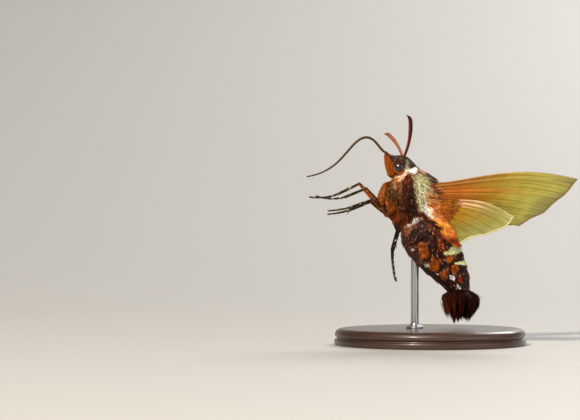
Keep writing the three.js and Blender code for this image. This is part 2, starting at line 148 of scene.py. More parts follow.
def rows_at(at: Array, places: Sequence[float], rows: Array) -> Array:
    """Rows of values, read on the straight lines between their places."""
    return np.stack([np.interp(at, places, column) for column in rows.T], axis=1)


def sunflower(count: int) -> Array:
    """Places spread evenly over a disc of radius 1."""
    n = np.arange(count) + 0.5
    return np.sqrt(n / count)[:, None] * np.stack([np.cos(n * GOLDEN_TURN), np.sin(n * GOLDEN_TURN)], axis=1)


def direction(pitch: float, splay: float, side: int) -> Array:
    """A direction pitched down from forward and splayed out to a side, both in degrees."""
    p, s = math.radians(pitch), math.radians(splay)
    return np.array([math.cos(p) * math.cos(s), side * math.sin(s), -math.sin(p) * math.cos(s)])


def on_side(place: Sequence[float], side: int) -> Array:
    """A place given for the left side, on the left for 1 and on the right for -1."""
    return np.array([place[0], side * place[1], place[2]], float)


def march(start: Array, pitches: Array, splay: float, side: int, length: float) -> Array:
    """A path of equal steps, each with its own pitch.

    Args:
        start: Where the path starts.
        pitches: How far each step points down from forward, in degrees.
        splay: How far all of them point out to the side, in degrees.
        side: 1 for the left and -1 for the right.
        length: The whole path's length.

    Returns:
        The path's points, one more than its steps.
    """
    path = [np.asarray(start, float)]
    for pitch in pitches:
        path.append(path[-1] + direction(pitch, splay, side) * length / len(pitches))
    return np.array(path)


def ring_quads(rings: int, sides: int) -> Array:
    """The faces between rings of points that follow each other.

    Args:
        rings: How many rings there are.
        sides: How many points each ring has.

    Returns:
        The four points of each face.
    """
    i, j = np.meshgrid(np.arange(rings - 1), np.arange(sides), indexing="ij")
    here, beside = (i * sides + j).ravel(), (i * sides + (j + 1) % sides).ravel()
    return np.stack([here, here + sides, beside + sides, beside], axis=1)


def plain(code: str, places: Array) -> Array:
    """One colour at every place."""
    return np.tile(linear(code), (len(places), 1))


@dataclass(frozen=True)
class Grain:
    """Blotches of light and shade over a coat, which may be drawn out into streaks."""

    strength: float
    size: float
    seed: int
    stretch: Triple = (1.0, 1.0, 1.0)

    def at(self, places: Array) -> Array:
        """The grain at each place, about 0 on average."""
        return self.strength * mottle(places * self.stretch, self.size, self.seed)


def grained(places: Array, grains: Sequence[Grain]) -> Array:
    """A factor of about 1 that several grains together give each place."""
    return 1 + sum(grain.at(places) for grain in grains)


@dataclass(frozen=True)
class BodyFrame:
    """Where the moth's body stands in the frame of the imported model."""

    pitch: float = 62.2
    centre: Triple = (-1.4, 0.0, 21.2)

    def turned(self, ways: Array) -> Array:
        """Directions along the body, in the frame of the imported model.

        Args:
            ways: Directions in the body's frame, one in each row.

        Returns:
            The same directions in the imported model's frame.
        """
        turn = math.radians(self.pitch)
        axes = np.array([
            [-math.cos(turn), 0, math.sin(turn)],
            [0, -1, 0],
            [math.sin(turn), 0, math.cos(turn)],
        ])
        return ways @ axes

    def to_world(self, points: Array) -> Array:
        """Points in millimetres along the body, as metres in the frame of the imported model."""
        return (self.turned(points) + np.asarray(self.centre)) * MM


BODY_FRAME = BodyFrame()
SIDES = {"left": 1, "right": -1}


def mounted(name: str, mesh: bpy.types.Mesh, slot: str) -> bpy.types.Object:
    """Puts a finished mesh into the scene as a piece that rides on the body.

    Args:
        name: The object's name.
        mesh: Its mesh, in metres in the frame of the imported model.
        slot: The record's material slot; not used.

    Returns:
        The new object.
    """
    obj = bpy.data.objects.new(name, mesh)
    bpy.context.scene.collection.objects.link(obj)
    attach(obj, BODY)
    LOG.info("%s: %d faces", name, len(mesh.polygons))
    return obj


@dataclass
class Shell:
    """Points and faces with an unwrap and a colour at each point, before they are a Blender mesh."""

    points: Array
    faces: list[Array]
    unwrap: Array
    tint: Array
    upright: bool = False

    @staticmethod
    def joined(shells: Sequence["Shell"]) -> "Shell":
        """Several shells as one, each still closed by itself.

        Args:
            shells: The shells.

        Returns:
            One shell with all their faces.
        """
        offsets = np.cumsum([0] + [len(s.points) for s in shells[:-1]])
        faces = [f + offset for s, offset in zip(shells, offsets) for f in s.faces]
        points, unwrap, tint = (
            np.concatenate([getattr(s, part) for s in shells]) for part in ("points", "unwrap", "tint")
        )
        return Shell(points, faces, unwrap, tint)

    def volume(self) -> float:
        """Six times the volume inside, below zero where the faces point in.

        Returns:
            The sum over all faces, in cubic millimetres.
        """
        total = 0.0
        for faces in self.faces:
            corners = [self.points[faces[:, k]] for k in range(faces.shape[1])]
            for k in range(1, faces.shape[1] - 1):
                total += float(np.sum(corners[0] * np.cross(corners[k], corners[k + 1])))
        return total

    def face_out(self) -> None:
        """Turns the faces outwards."""
        if self.volume() < 0:
            self.faces = [f[:, ::-1] for f in self.faces]

    def piece(
        self, name: str, material: bpy.types.Material, slot: str, bake: bool = False,
    ) -> bpy.types.Object:
        """Makes the shell a smooth mesh object that rides on the body.

        Args:
            name: The object's name.
            material: Its finish.
            slot: The record's material slot.
            bake: True names the unwrap for the baked maps of a coat.

        Returns:
            The new object.
        """
        self.face_out()
        mesh = bpy.data.meshes.new(name)
        world = (self.points * MM if self.upright else BODY_FRAME.to_world(self.points)).astype(np.float32)
        corners = np.concatenate([f.ravel() for f in self.faces])
        sizes = np.concatenate([np.full(len(f), f.shape[1]) for f in self.faces])
        starts = np.concatenate([[0], np.cumsum(sizes)[:-1]])
        mesh.vertices.add(len(world))
        mesh.vertices.foreach_set("co", world.ravel())
        mesh.loops.add(len(corners))
        mesh.loops.foreach_set("vertex_index", corners.astype(np.int32))
        mesh.polygons.add(len(sizes))
        mesh.polygons.foreach_set("loop_start", starts.astype(np.int32))
        mesh.update(calc_edges=True)
        mesh.polygons.foreach_set("use_smooth", np.ones(len(sizes), bool))
        layer = mesh.uv_layers.new(name=BAKE_MAP if bake else "Unwrap")
        layer.data.foreach_set("uv", self.corner_unwrap().astype(np.float32).ravel())
        tint = mesh.attributes.new(TINT, "FLOAT_COLOR", "POINT")
        rgba = np.concatenate([np.clip(self.tint, 0, 1), np.ones((len(self.tint), 1))], axis=1)
        tint.data.foreach_set("color", rgba.astype(np.float32).ravel())
        mesh.materials.append(material)
        mesh.validate()
        return mounted(name, mesh, slot)

    def corner_unwrap(self) -> Array:
        """The unwrap at each face corner, kept whole where a face crosses the seam of a tube.

        Returns:
            One place on the unwrap for each corner.
        """
        parts = []
        for faces in self.faces:
            uv = self.unwrap[faces].copy()
            across = uv[:, :, 1]
            wraps = across.max(1) - across.min(1) > 0.5
            across[wraps] += across[wraps] < 0.5
            parts.append(uv.reshape(-1, 2))
        return np.concatenate(parts)


class Surface:
    """A surface that a skin and a coat are laid over: u runs along it and v round or across it."""

    def point(self, u: Array, v: Array) -> Array:
        """The surface's points, in millimetres along the body."""
        raise NotImplementedError

    def inside(self, u: Array, v: Array) -> Array:
        """A place inside the form, right under each point."""
        raise NotImplementedError

    def axes(self, u: Array, v: Array) -> tuple[Array, Array, Array]:
        """Directions at each place: along u, along v and straight out.

        Args:
            u: Places along the surface.
            v: Places round or across it.

        Returns:
            Three arrays of unit vectors.
        """
        step = 1e-3
        along = unit(self.point(np.minimum(u + step, 1), v) - self.point(np.maximum(u - step, 0), v))
        across = unit(self.point(u, v + step) - self.point(u, v - step))
        normal = unit(np.cross(across, along))
        outward = np.sum(normal * (self.point(u, v) - self.inside(u, v)), axis=1, keepdims=True)
        return along, across, normal * np.where(outward < 0, -1, 1)

    def spread(self, count: int, low: float = 0.0, high: float = 1.0) -> tuple[Array, Array]:
        """Even places all over a stretch of the surface.

        Args:
            count: How many places.
            low: Where the stretch starts along u.
            high: Where it ends.

        Returns:
            Their u and v.
        """
        rows, columns = 160, 48
        u = np.linspace(low, high, rows)
        v = np.linspace(0, 1, columns, endpoint=False)
        grid = self.point(np.repeat(u, columns), np.tile(v, rows)).reshape(rows, columns, 3)
        steps = np.linalg.norm(np.diff(grid, axis=0), axis=2).mean(1)
        girth = np.linalg.norm(np.diff(grid, axis=1), axis=2).sum(1)
        area = np.concatenate([[0], np.cumsum(steps * (girth[1:] + girth[:-1]) / 2)])
        index = np.arange(count) + 0.5
        share, round_share = (index * step % 1 for step in EVEN_STEPS)
        return np.interp(share * area[-1], area, u), round_share

    def tube(self, rows: int, columns: int, colour: Callable[[Array], Array], low: float = 0.0) -> Shell:
        """A closed skin over a surface that goes right round, with a point at each end.

        Args:
            rows: Rings along the surface.
            columns: Points in each ring.
            colour: Gives the tint of points.
            low: Where the skin starts along u.

        Returns:
            The skin.
        """
        u, v = np.linspace(low, 1, rows), np.arange(columns) / columns
        uu, vv = np.repeat(u, columns), np.tile(v, rows)
        points = self.point(uu, vv)
        ends = np.array([points[:columns].mean(0), points[-columns:].mean(0)])
        points = np.concatenate([points, ends])
        ring = np.arange(columns)
        after = (ring + 1) % columns
        last = (rows - 1) * columns
        caps = np.concatenate([
            np.stack([ring, after, np.full(columns, rows * columns)], axis=1),
            np.stack([last + after, last + ring, np.full(columns, rows * columns + 1)], axis=1),
        ])
        unwrap = np.concatenate([np.stack([uu, vv], axis=1), [[low, 0.5], [1, 0.5]]])
        return Shell(points, [ring_quads(rows, columns), caps], unwrap, colour(points))


@dataclass
class Tube(Surface):
    """A round or flattened tube along a line of points."""

    path: Array
    radii: Array
    flat: float = 1.0
    face: Triple = (0.0, 1.0, 0.0)

    def inside(self, u: Array, v: Array) -> Array:
        """The middle line's place at each u."""
        return rows_at(u, np.linspace(0, 1, len(self.path)), self.path)

    def way(self, u: Array) -> Array:
        """The direction of the middle line at each u."""
        return unit(rows_at(u, np.linspace(0, 1, len(self.path)), np.gradient(self.path, axis=0)))

    def nearest(self, points: Array) -> Array:
        """The number of the path's point that is nearest to each place."""
        return np.argmin(np.linalg.norm(points[:, None] - self.path, axis=2), axis=1)

    def point(self, u: Array, v: Array) -> Array:
        """The tube's points, in millimetres along the body.

        Args:
            u: Places along the tube.
            v: Places round it.

        Returns:
            One point for each place.
        """
        along = self.way(u)
        across = unit(np.cross(along, np.asarray(self.face)))
        up = np.cross(across, along)
        radius = np.interp(u, np.linspace(0, 1, len(self.path)), self.radii)[:, None]
        turn = (v * FULL_TURN)[:, None]
        return self.inside(u, v) + radius * (across * np.cos(turn) + self.flat * up * np.sin(turn))


@dataclass(frozen=True)
class Lock:
    """The shape of one hair, scale or lock of a coat: a three-sided spike along a bent line."""

    stations: Table = ((0.0, 0.7), (0.35, 1.0), (0.7, 0.62))
    thick: float = 0.45
    rise: float = 0.42
    lay: float = 0.3

    def set_on(
        self, roots: Array, along: Array, out: Array, length: Array, width: Array,
        unwrap: Array, tint: Array, tip: Array,
    ) -> Shell:
        """Makes one lock at every root.

        Args:
            roots: Where each lock starts.
            along: The way it lies.
            out: The way out of the skin.
            length: Its length.
            width: Its full width.
            unwrap: Its root's place on the skin's unwrap.
            tint: Its colour at the root.
            tip: Its colour at the tip.

        Returns:
            All of them as one shell, each closed.
        """
        corners = ((-1.0, 0.0), (1.0, 0.0), (0.0, 1.0))
        count, rings, sides = len(roots), len(self.stations), len(corners)
        side = unit(np.cross(along, out))
        half = (np.asarray(width) / 2)[:, None, None]
        reach = np.asarray(length)[:, None, None]
        share = np.array([s for s, _ in self.stations] + [1.0])
        wide = np.array([w for _, w in self.stations] + [0.0])
        height = share * self.rise - share ** 2 * self.lay
        centre = roots[:, None] + reach * (share[:, None] * along[:, None] + height[:, None] * out[:, None])
        shape = half * wide[:rings, None]
        rim = np.stack([
            centre[:, :rings] + shape * (a * side[:, None] + b * self.thick * out[:, None])
            for a, b in corners
        ], axis=2)
        points = np.concatenate([rim.reshape(count, rings * sides, 3), centre[:, rings:]], axis=1)
        size = rings * sides + 1
        last = (rings - 1) * sides
        caps = [[0, 1, 2]] + [[last + k, size - 1, last + (k + 1) % sides] for k in range(sides)]
        start = (np.arange(count) * size)[:, None, None]
        reached = np.repeat(share, [sides] * rings + [1])
        patch = np.stack([reached, np.tile([0.0, 1.0, 0.5], rings + 1)[:size]], axis=1)
        weight = reached[:, None]
        return Shell(
            points.reshape(-1, 3),
            [(start + ring_quads(rings, sides)).reshape(-1, 4), (start + np.array(caps)).reshape(-1, 3)],
            (unwrap[:, None] + patch * BAKE_PATCH).reshape(-1, 2),
            (tint[:, None] * (1 - weight) + tip[:, None] * weight).reshape(-1, 3),
        )


@dataclass
class Coat:
    """Locks spread over part of a surface, lying along it or combed one way.

    The shades are the tone at a lock's root, the tone at its tip and how much whole locks differ. The
    glint is the share of paler locks and their colour: partly pale hairs of the coat and partly painted
    highlights of sun on single hairs. The swirl is the width of an area where the locks lean the same
    way, and unruly how much each leans by itself.
    """

    surface: Surface
    count: int
    low: float
    high: float
    length: float
    width: float
    lock: Lock = Lock()
    comb: Triple | None = None
    sway: float = 0.22
    swirl: float = 2.2
    unruly: float = 0.6
    uneven: float = 0.25
    shades: Triple = (0.5, 1.45, 0.3)
    seed: int = 1
    atlas: tuple[float, float, float, float] = (0.0, 0.0, 1.0, 1.0)
    keep: Callable[[Array], Array] | None = None
    scale: Callable[[Array], Array] | None = None
    glint: tuple[float, str] = (0.0, "ffffff")
    glint_strength: Pair = (0.2, 0.6)
    shown: float = 0.6

    def shell(self, colour: Callable[[Array], Array]) -> Shell:
        """Sets every lock of the coat on its surface.

        Args:
            colour: Gives the tint of the place where a lock shows.

        Returns:
            The coat as one shell.
        """
        random = np.random.default_rng(self.seed)
        u, v = self.surface.spread(self.count, self.low, self.high)
        roots = self.surface.point(u, v)
        if self.keep is not None:
            kept = self.keep(roots)
            u, v, roots = u[kept], v[kept], roots[kept]
        along, across, out = self.surface.axes(u, v)
        if self.comb is not None:
            wanted = np.tile(self.comb, (len(u), 1))
            wanted[:, 1] *= np.sign(roots[:, 1])
            along = unit(wanted - np.sum(wanted * out, axis=1, keepdims=True) * out)
            across = np.cross(along, out)
        lean = mottle(roots, self.swirl, self.seed + 7) + random.normal(0, self.unruly, len(u))
        lie = unit(along + across * (self.sway * lean)[:, None])
        sized = self.scale(roots) if self.scale is not None else np.ones(len(u))
        vary = 1 + self.uneven * random.uniform(-1, 1, len(u))
        length = self.length * sized * vary
        root, tip, spread = self.shades
        tint = colour(roots + lie * (self.shown * length)[:, None])
        # Paler locks: partly pale hairs and partly painted highlights of sun on single hairs.
        pale = (random.random(len(u)) < self.glint[0]) * random.uniform(*self.glint_strength, len(u))
        tint = mix(tint, linear(self.glint[1]), pale) * np.exp(spread * random.normal(0, 1, len(u)))[:, None]
        x0, y0, x1, y1 = self.atlas
        unwrap = np.stack([x0 + (x1 - x0) * u, y0 + (y1 - y0) * v], axis=1)
        return self.lock.set_on(
            roots, lie, out, length, self.width * sized ** 0.5, unwrap,
            np.clip(tint * root, 0, 1), np.clip(tint * tip, 0, 1),
        )


@dataclass(frozen=True)
class Mark:
    """A soft stroke of colour on both flanks, from one place to another as forward and dorsal."""

    start: Pair
    end: Pair
    radius: float
    colour: str
    soft: float = 0.1
    strength: float = 1.0
    ragged: float = 0.3
    glow: float = 1.0

    def share(self, places: Array, ragged: Array) -> Array:
        """How far the mark covers each place, from 0 to 1.

        Args:
            places: Points in millimetres.
            ragged: How far the edge is moved in or out at each place, from -1 to 1.

        Returns:
            A share for each place.
        """
        a, b = np.array(self.start), np.array(self.end)
        flat = places[:, [0, 2]] - a
        line = b - a
        t = np.clip(flat @ line / (line @ line), 0, 1)
        away = np.linalg.norm(flat - t[:, None] * line, axis=1)
        away += ragged * max(self.soft, self.ragged * self.radius)
        return self.strength * (1 - smoothstep(self.radius - self.soft, self.radius + self.soft, away))


@dataclass(frozen=True)
class BackBand:
    """A pale band over the back that narrows to a point on each flank."""

    back: Pair
    back_level: float
    foot: Pair
    colour: str = "f0f688"
    glow: float = 1.45
    soft: float = 0.05
    ragged: float = 0.07

    def share(self, places: Array, ragged: Array) -> Array:
        """How far the band covers each place, from 0 to 1.

        Args:
            places: Points in millimetres.
            ragged: How far the edge is moved in or out at each place, from -1 to 1.

        Returns:
            A share for each place.
        """
        climb = np.clip((places[:, 2] - self.foot[1]) / (self.back_level - self.foot[1]), 0, 1)
        middle = self.foot[0] + (sum(self.back) / 2 - self.foot[0]) * climb
        half = (self.back[0] - self.back[1]) / 2 * climb ** 0.6
        away = np.abs(places[:, 0] - middle) + self.ragged * ragged
        return (climb > 0) * (1 - smoothstep(half - self.soft, half + self.soft, away))


def painted(tint: Array, marks: Sequence[Mark | BackBand], places: Array, ragged: Array) -> Array:
    """Lays marks over a coat's colours, the last on top.

    Args:
        tint: The colours under the marks, one in each row.
        marks: The marks in order.
        places: Points in millimetres.
        ragged: How far the marks' edges are moved in or out at each place.

    Returns:
        The colours with the marks.
    """
    for mark in marks:
        tint = mix(tint, np.array(linear(mark.colour)) * mark.glow, mark.share(places, ragged))
    return tint


@dataclass(frozen=True)
class Markings:
    """The colours of the moth's coat by place on its body.

    The belly's tone starts under a line that rises towards the tail: its two depths are where it
    starts and where it is full, at the forward place belly_from, and belly_rise is the line's slope.
    """

    fur: str = "56260c"
    abdomen: str = "2b0f07"
    belly: str = "42200f"
    waist: float = -1.9
    waist_soft: float = 0.2
    belly_depths: Pair = (3.2, 4.6)
    belly_from: float = -5.0
    belly_rise: float = 0.12
    ragged: Grain = Grain(1.0, 0.9, 3)
    grains: tuple[Grain, ...] = (
        Grain(0.22, 1.1, 5),
        Grain(0.3, 0.5, 6, (0.4, 1.0, 1.0)),
        Grain(0.25, 0.28, 7, (0.4, 1.0, 1.0)),
    )
    darkest: float = 0.3
    marks: tuple[Mark, ...] = (
        # Breast and the flank under the wings
        Mark((4.6, -4.9), (-1.4, -5.6), 1.7, "9c541a", 0.6),
        Mark((1.4, -3.9), (-1.0, -4.4), 0.85, "8c420e", 0.5),
        Mark((2.8, -2.0), (1.2, -3.0), 0.8, "40200f", 0.5),
        Mark((2.7, -0.5), (0.4, -1.2), 0.95, "2c150c", 0.45),
        Mark((0.4, -1.2), (-1.4, -2.3), 0.8, "2c150c", 0.45),
        Mark((4.5, -2.9), (3.6, -3.2), 0.85, "4c3a1e", 0.35, 0.85),
        Mark((4.3, -1.2), (2.8, -2.4), 0.3, "8c5c3a", 0.25, 0.8),
        Mark((4.7, -2.0), (4.1, -2.2), 0.32, "b47850", 0.3, 0.5),
        # Back and the pale line that meets the wing bases
        Mark((4.8, 3.2), (-0.8, 4.2), 1.25, "43180c", 0.35),
        Mark((3.9, 0.85), (-0.4, -0.45), 0.34, "9c9070", 0.2),
        Mark((3.0, 1.7), (1.0, 1.25), 1.0, "ccc48c", 0.35),
        Mark((1.0, 1.1), (-0.4, 0.2), 0.72, "d2c896", 0.35),
        Mark((0.2, 1.9), (-1.0, 2.6), 0.7, "a85a30", 0.4),
        # Orange fur behind the wing bases, with a painted sunlit highlight at the base
        Mark((-2.0, 1.35), (-6.5, 2.4), 0.92, "f88c3a", 0.3, glow=1.15),
        # Painted sunlit highlight at the wing base.
        Mark((-0.7, 0.35), (-1.7, 0.45), 0.6, "ffe6cc", 0.25, glow=1.4),
        Mark((-3.0, -0.5), (-5.8, 0.4), 0.5, "5c2412", 0.4),
        # Head, with the pale streak behind the eye
        Mark((8.8, 0.2), (5.4, 2.4), 1.05, "3a2a1e", 0.35),
        Mark((7.0, -0.3), (6.0, -0.5), 1.15, "3c1c0e", 0.3),
        Mark((9.1, -0.7), (7.4, -0.4), 0.45, "2e1a10", 0.3),
        Mark((8.9, -1.7), (6.0, -2.2), 0.85, "a4540e", 0.35),
        Mark((6.95, 1.1), (6.1, 0.75), 0.2, "a8a086", 0.15, 0.8),
        Mark((5.8, -3.3), (4.5, -4.5), 0.7, "b45c1c", 0.3),
        # The pale collar streak: the moth's own cream and pink hair, painted brighter towards its white end
        # as a sunlit highlight.
        Mark((5.9, -2.8), (5.25, -0.9), 0.62, "f4a864", 0.25),
        Mark((5.1, -0.9), (5.45, 0.5), 0.45, "ffc49c", 0.2, glow=1.2),
        Mark((5.2, 0.75), (4.95, 1.5), 0.46, "fffae8", 0.12, glow=1.35),
        Mark((4.6, 2.0), (4.2, 2.5), 0.3, "9c6450", 0.3),
        # Rear edge of the thorax: a ring of pinkish hair, partly its own pale colour and partly painted
        # sunlit highlights
        Mark((-2.3, -4.0), (-2.3, -2.4), 0.26, "b46848", 0.3, 0.45, 1.0),
        Mark((-1.95, -4.6), (-1.75, -2.9), 0.22, "d09c84", 0.14, 0.9, 1.1),
        # The brightest, white pink part of the ring: painted sunlit highlight on pale hair.
        Mark((-1.78, -3.0), (-1.55, -0.9), 0.24, "ffc8b4", 0.12, 1.0, 1.1, 1.5),
        # Orange spots of the abdomen
        Mark((-5.5, -2.9), (-6.7, -3.1), 0.66, "8a4008"),
        Mark((-6.1, -0.3), (-7.1, -0.5), 0.42, "7c3208"),
        Mark((-8.4, -2.5), (-9.3, -2.6), 0.62, "8c4208"),
        Mark((-8.65, -0.1), (-9.0, -0.25), 0.56, "a05008"),
        Mark((-10.4, -1.95), (-11.1, -2.0), 0.46, "8a4208"),
        Mark((-10.7, -0.15), (-10.9, -0.2), 0.52, "904008"),
        Mark((-12.2, -0.1), (-12.7, -0.15), 0.4, "742806"),
        Mark((-8.4, -1.55), (-8.6, -1.6), 0.2, "843810"),
        Mark((-10.1, -1.0), (-10.35, -1.1), 0.16, "8c3a0c"),
        # White side marks of the abdomen
        Mark((-8.16, -3.62), (-8.3, -3.5), 0.2, "ffffff", 0.05, glow=1.7),
        Mark((-10.2, -2.85), (-10.3, -2.7), 0.13, "ffffff", 0.05, glow=1.4),
        Mark((-11.6, -1.2), (-11.9, -0.95), 0.31, "ffffff", 0.06, glow=1.8),
        Mark((-13.45, -0.8), (-13.65, -0.65), 0.22, "ffffff", 0.05, glow=1.7),
        Mark((-12.2, -2.98), (-12.25, -2.9), 0.1, "f0ece0", 0.04),
        Mark((-5.25, -4.3), (-5.3, -4.2), 0.12, "d9d2c8", 0.05),
    )
    bands: tuple[BackBand, ...] = (
        BackBand((-7.6, -9.05), 2.05, (-8.05, -0.7)),
        BackBand((-10.4, -11.2), 1.9, (-10.05, 0.2)),
    )

    def colour(self, places: Array) -> Array:
        """The tint of each place on the body, in linear light.

        Args:
            places: Points in millimetres.

        Returns:
            One colour for each place.
        """
        forward, dorsal = places[:, 0], places[:, 2]
        tail = smoothstep(-self.waist_soft, self.waist_soft, self.waist - forward)
        tint = mix(plain(self.fur, places), linear(self.abdomen), tail)
        depth = -dorsal - self.belly_rise * (forward - self.belly_from)
        tint = mix(tint, linear(self.belly), tail * smoothstep(*self.belly_depths, depth))
        tint = painted(tint, self.marks + self.bands, places, self.ragged.at(places))
        return tint * np.maximum(grained(places, self.grains), self.darkest)[:, None]


MARKINGS = Markings()


class NodeKit:
    """Short ways to add and feed nodes."""

    def __init__(self, tree: bpy.types.NodeTree) -> None:
        """Keeps the tree that the nodes go into."""
        self.tree = tree

    def feed(self, node: bpy.types.Node, inputs: dict[str | int, object]) -> None:
        """Gives a node's inputs their values.

        Args:
            node: The node.
            inputs: By name or number, a value or the output to link.
        """
        for key, value in inputs.items():
            if isinstance(value, bpy.types.NodeSocket):
                self.tree.links.new(value, node.inputs[key])
            else:
                node.inputs[key].default_value = value

    def add(
        self, kind: str, inputs: dict[str | int, object] | None = None, **settings: object,
    ) -> bpy.types.Node:
        """Adds a node.

        Args:
            kind: The node's type name.
            inputs: As for feed.
            **settings: Its own properties.

        Returns:
            The node.
        """
        node = self.tree.nodes.new(kind)
        for key, value in settings.items():
            setattr(node, key, value)
        self.feed(node, inputs or {})
        return node


def shader_group(
    name: str, inputs: dict[str, tuple[str, float | tuple | None]], outputs: dict[str, str],
) -> tuple[bpy.types.NodeTree, NodeKit, bpy.types.Node, bpy.types.Node]:
    """Starts a shader node group with named sockets.

    Args:
        name: The group's name.
        inputs: Socket type and default by name.
        outputs: Socket type by name.

    Returns:
        The group, its kit, and its input and output nodes.
    """
    group = bpy.data.node_groups.new(name, "ShaderNodeTree")
    for key, (kind, value) in inputs.items():
        socket = group.interface.new_socket(key, in_out="INPUT", socket_type=f"NodeSocket{kind}")
        if value is not None:
            socket.default_value = value
    for key, kind in outputs.items():
        group.interface.new_socket(key, in_out="OUTPUT", socket_type=f"NodeSocket{kind}")
    kit = NodeKit(group)
    return group, kit, kit.add("NodeGroupInput"), kit.add("NodeGroupOutput")


def mottle_group() -> bpy.types.NodeTree:
    """The group that makes a colour uneven at one scale.

    Returns:
        The group.
    """
    group, kit, start, end = shader_group(
        "Uneven colour",
        {
            "Colour": ("Color", (0.5, 0.5, 0.5, 1)),
            "Place": ("Vector", None),
            "Scale": ("Float", 1000.0),
            "Darkest": ("Float", 0.7),
            "Lightest": ("Float", 1.25),
        },
        {"Colour": "Color"},
    )
    given = start.outputs
    noise = kit.add("ShaderNodeTexNoise", {
        "Vector": given["Place"], "Scale": given["Scale"], "Detail": 3.0, "Roughness": 0.6,
    })
    level = kit.add("ShaderNodeMapRange", {
        "Value": noise.outputs["Fac"], "From Min": 0.3, "From Max": 0.7, "To Min": given["Darkest"],
        "To Max": given["Lightest"],
    })
    scaled = kit.add(
        "ShaderNodeVectorMath", {0: given["Colour"], "Scale": level.outputs["Result"]}, operation="SCALE")
    kit.feed(end, {"Colour": scaled.outputs["Vector"]})
    return group


def streak_group() -> bpy.types.NodeTree:
    """The group that gives fine parallel relief, such as hairs, grain or brushing.

    Returns:
        The group.
    """
    group, kit, start, end = shader_group(
        "Fine streaks",
        {
            "Place": ("Vector", None),
            "Scale": ("Float", 4000.0),
            "Strength": ("Float", 0.4),
            "Depth": ("Float", 0.0001),
        },
        {"Normal": "Vector"},
    )
    given = start.outputs
    noise = kit.add("ShaderNodeTexNoise", {
        "Vector": given["Place"], "Scale": given["Scale"], "Detail": 2.0, "Roughness": 0.55,
    })
    bump = kit.add("ShaderNodeBump", {
        "Height": noise.outputs["Fac"], "Strength": given["Strength"], "Distance": given["Depth"],
    })
    kit.feed(end, {"Normal": bump.outputs["Normal"]})
    return group


class Space(Enum):
    """What a finish's pattern is laid out on."""

    OBJECT = "Object"
    UNWRAP = "UV"


@dataclass(frozen=True)
class Finish:
    """A surface finish made of an uneven colour and fine streaks along one direction."""

    name: str
    roughness: float = 0.6
    gloss: float = 0.5
    colour: str | None = None
    blotch: float = 1200.0
    darkest: float = 0.8
    lightest: float = 1.2
    streak: float = 6000.0
    relief: float = 0.35
    depth: float = 0.00004
    turn: Triple = (0.0, 0.0, 0.0)
    stretch: Triple = (1.0, 1.0, 1.0)
    along: Space = Space.OBJECT
    sockets: tuple[tuple[str, float], ...] = ()

    def material(self, groups: dict[str, bpy.types.NodeTree]) -> bpy.types.Material:
        """Builds the finish.

        Args:
            groups: The shared shader groups by short name.

        Returns:
            The material.
        """
        material = bpy.data.materials.new(self.name)
        material.use_nodes = True
        kit = NodeKit(material.node_tree)
        place = kit.add("ShaderNodeTexCoord")
        mapping = kit.add("ShaderNodeMapping", {
            "Vector": place.outputs[self.along.value], "Rotation": self.turn, "Scale": self.stretch,
        })
        if self.colour is None:
            tint = kit.add("ShaderNodeAttribute", attribute_name=TINT).outputs["Color"]
        else:
            tint = (*linear(self.colour), 1)
        uneven = kit.add("ShaderNodeGroup", {
            "Colour": tint, "Place": mapping.outputs["Vector"], "Scale": self.blotch,
            "Darkest": self.darkest, "Lightest": self.lightest,
        }, node_tree=groups["mottle"])
        streaks = kit.add("ShaderNodeGroup", {
            "Place": mapping.outputs["Vector"], "Scale": self.streak, "Strength": self.relief,
            "Depth": self.depth,
        }, node_tree=groups["streak"])
        kit.feed(material.node_tree.nodes["Principled BSDF"], {
            "Base Color": uneven.outputs["Colour"], "Normal": streaks.outputs["Normal"],
            "Roughness": self.roughness, "Specular IOR Level": self.gloss, **dict(self.sockets),
        })
        return material


class Finishes:
    """Every finish of the model, built once."""

    ALONG_BODY = (0.0, math.radians(-BODY_FRAME.pitch), 0.0)

    def __init__(self) -> None:
        """Builds the shared groups and the materials."""
        groups = {"mottle": mottle_group(), "streak": streak_group()}
        hair = {"turn": self.ALONG_BODY, "stretch": (1, 1, 0.2)}
        made = {
            "skin": Finish("Skin under the fur", 0.8, 0.12, **hair),
            "fur": Finish("Body fur", 0.5, 0.12, blotch=2500, darkest=0.7, lightest=1.3, **hair),
            "scales": Finish("Abdomen scales", 0.36, 0.2, blotch=2500, **hair),
            "tuft": Finish("Tail tuft hair", 0.6, 0.05, blotch=900, **hair),
            "wing": Finish(
                "Wing scales", 0.6, 0.12, blotch=2.2, darkest=0.78, lightest=1.22, streak=5.0, relief=0.3,
                stretch=(2.5, 42, 1), along=Space.UNWRAP,
            ),
            "horn": Finish("Dark chitin", 0.45, 0.2, blotch=2500),
            "leg": Finish("Leg scales", 0.55, 0.12, blotch=3000, darkest=0.6, lightest=1.4),
            "fringe": Finish("Wing fringe", 0.7, 0.12, blotch=2000),
            "eye": Finish(
                "Eye gloss", 0.35, 0.05, blotch=3000, streak=16000, relief=0.08,
                sockets=(("Coat Weight", 1.0), ("Coat Roughness", 0.22), ("Coat IOR", 1.6)),
            ),
            "wood": Finish(
                "Dark walnut", 0.4, colour="3a2317", blotch=160, darkest=0.45, lightest=1.5, streak=900,
                relief=0.15, depth=0.0001, stretch=(0.12, 1, 1),
                sockets=(("Coat Weight", 0.35), ("Coat Roughness", 0.15)),
            ),
            "steel": Finish(
                "Brushed steel", 0.28, colour="b9b9b6", blotch=900, darkest=0.9, lightest=1.06, streak=9000,
                relief=0.2, stretch=(1, 1, 0.02), sockets=(("Metallic", 1.0),),
            ),
            "floor": Finish(
                "Studio floor", 0.6, colour="b4b2ae", blotch=3, darkest=0.99, lightest=1.01, streak=400,
                relief=0.02,
            ),
        }
        self.made = {key: finish.material(groups) for key, finish in made.items()}

    def __getitem__(self, key: str) -> bpy.types.Material:
        """The material with that short name."""
        return self.made[key]


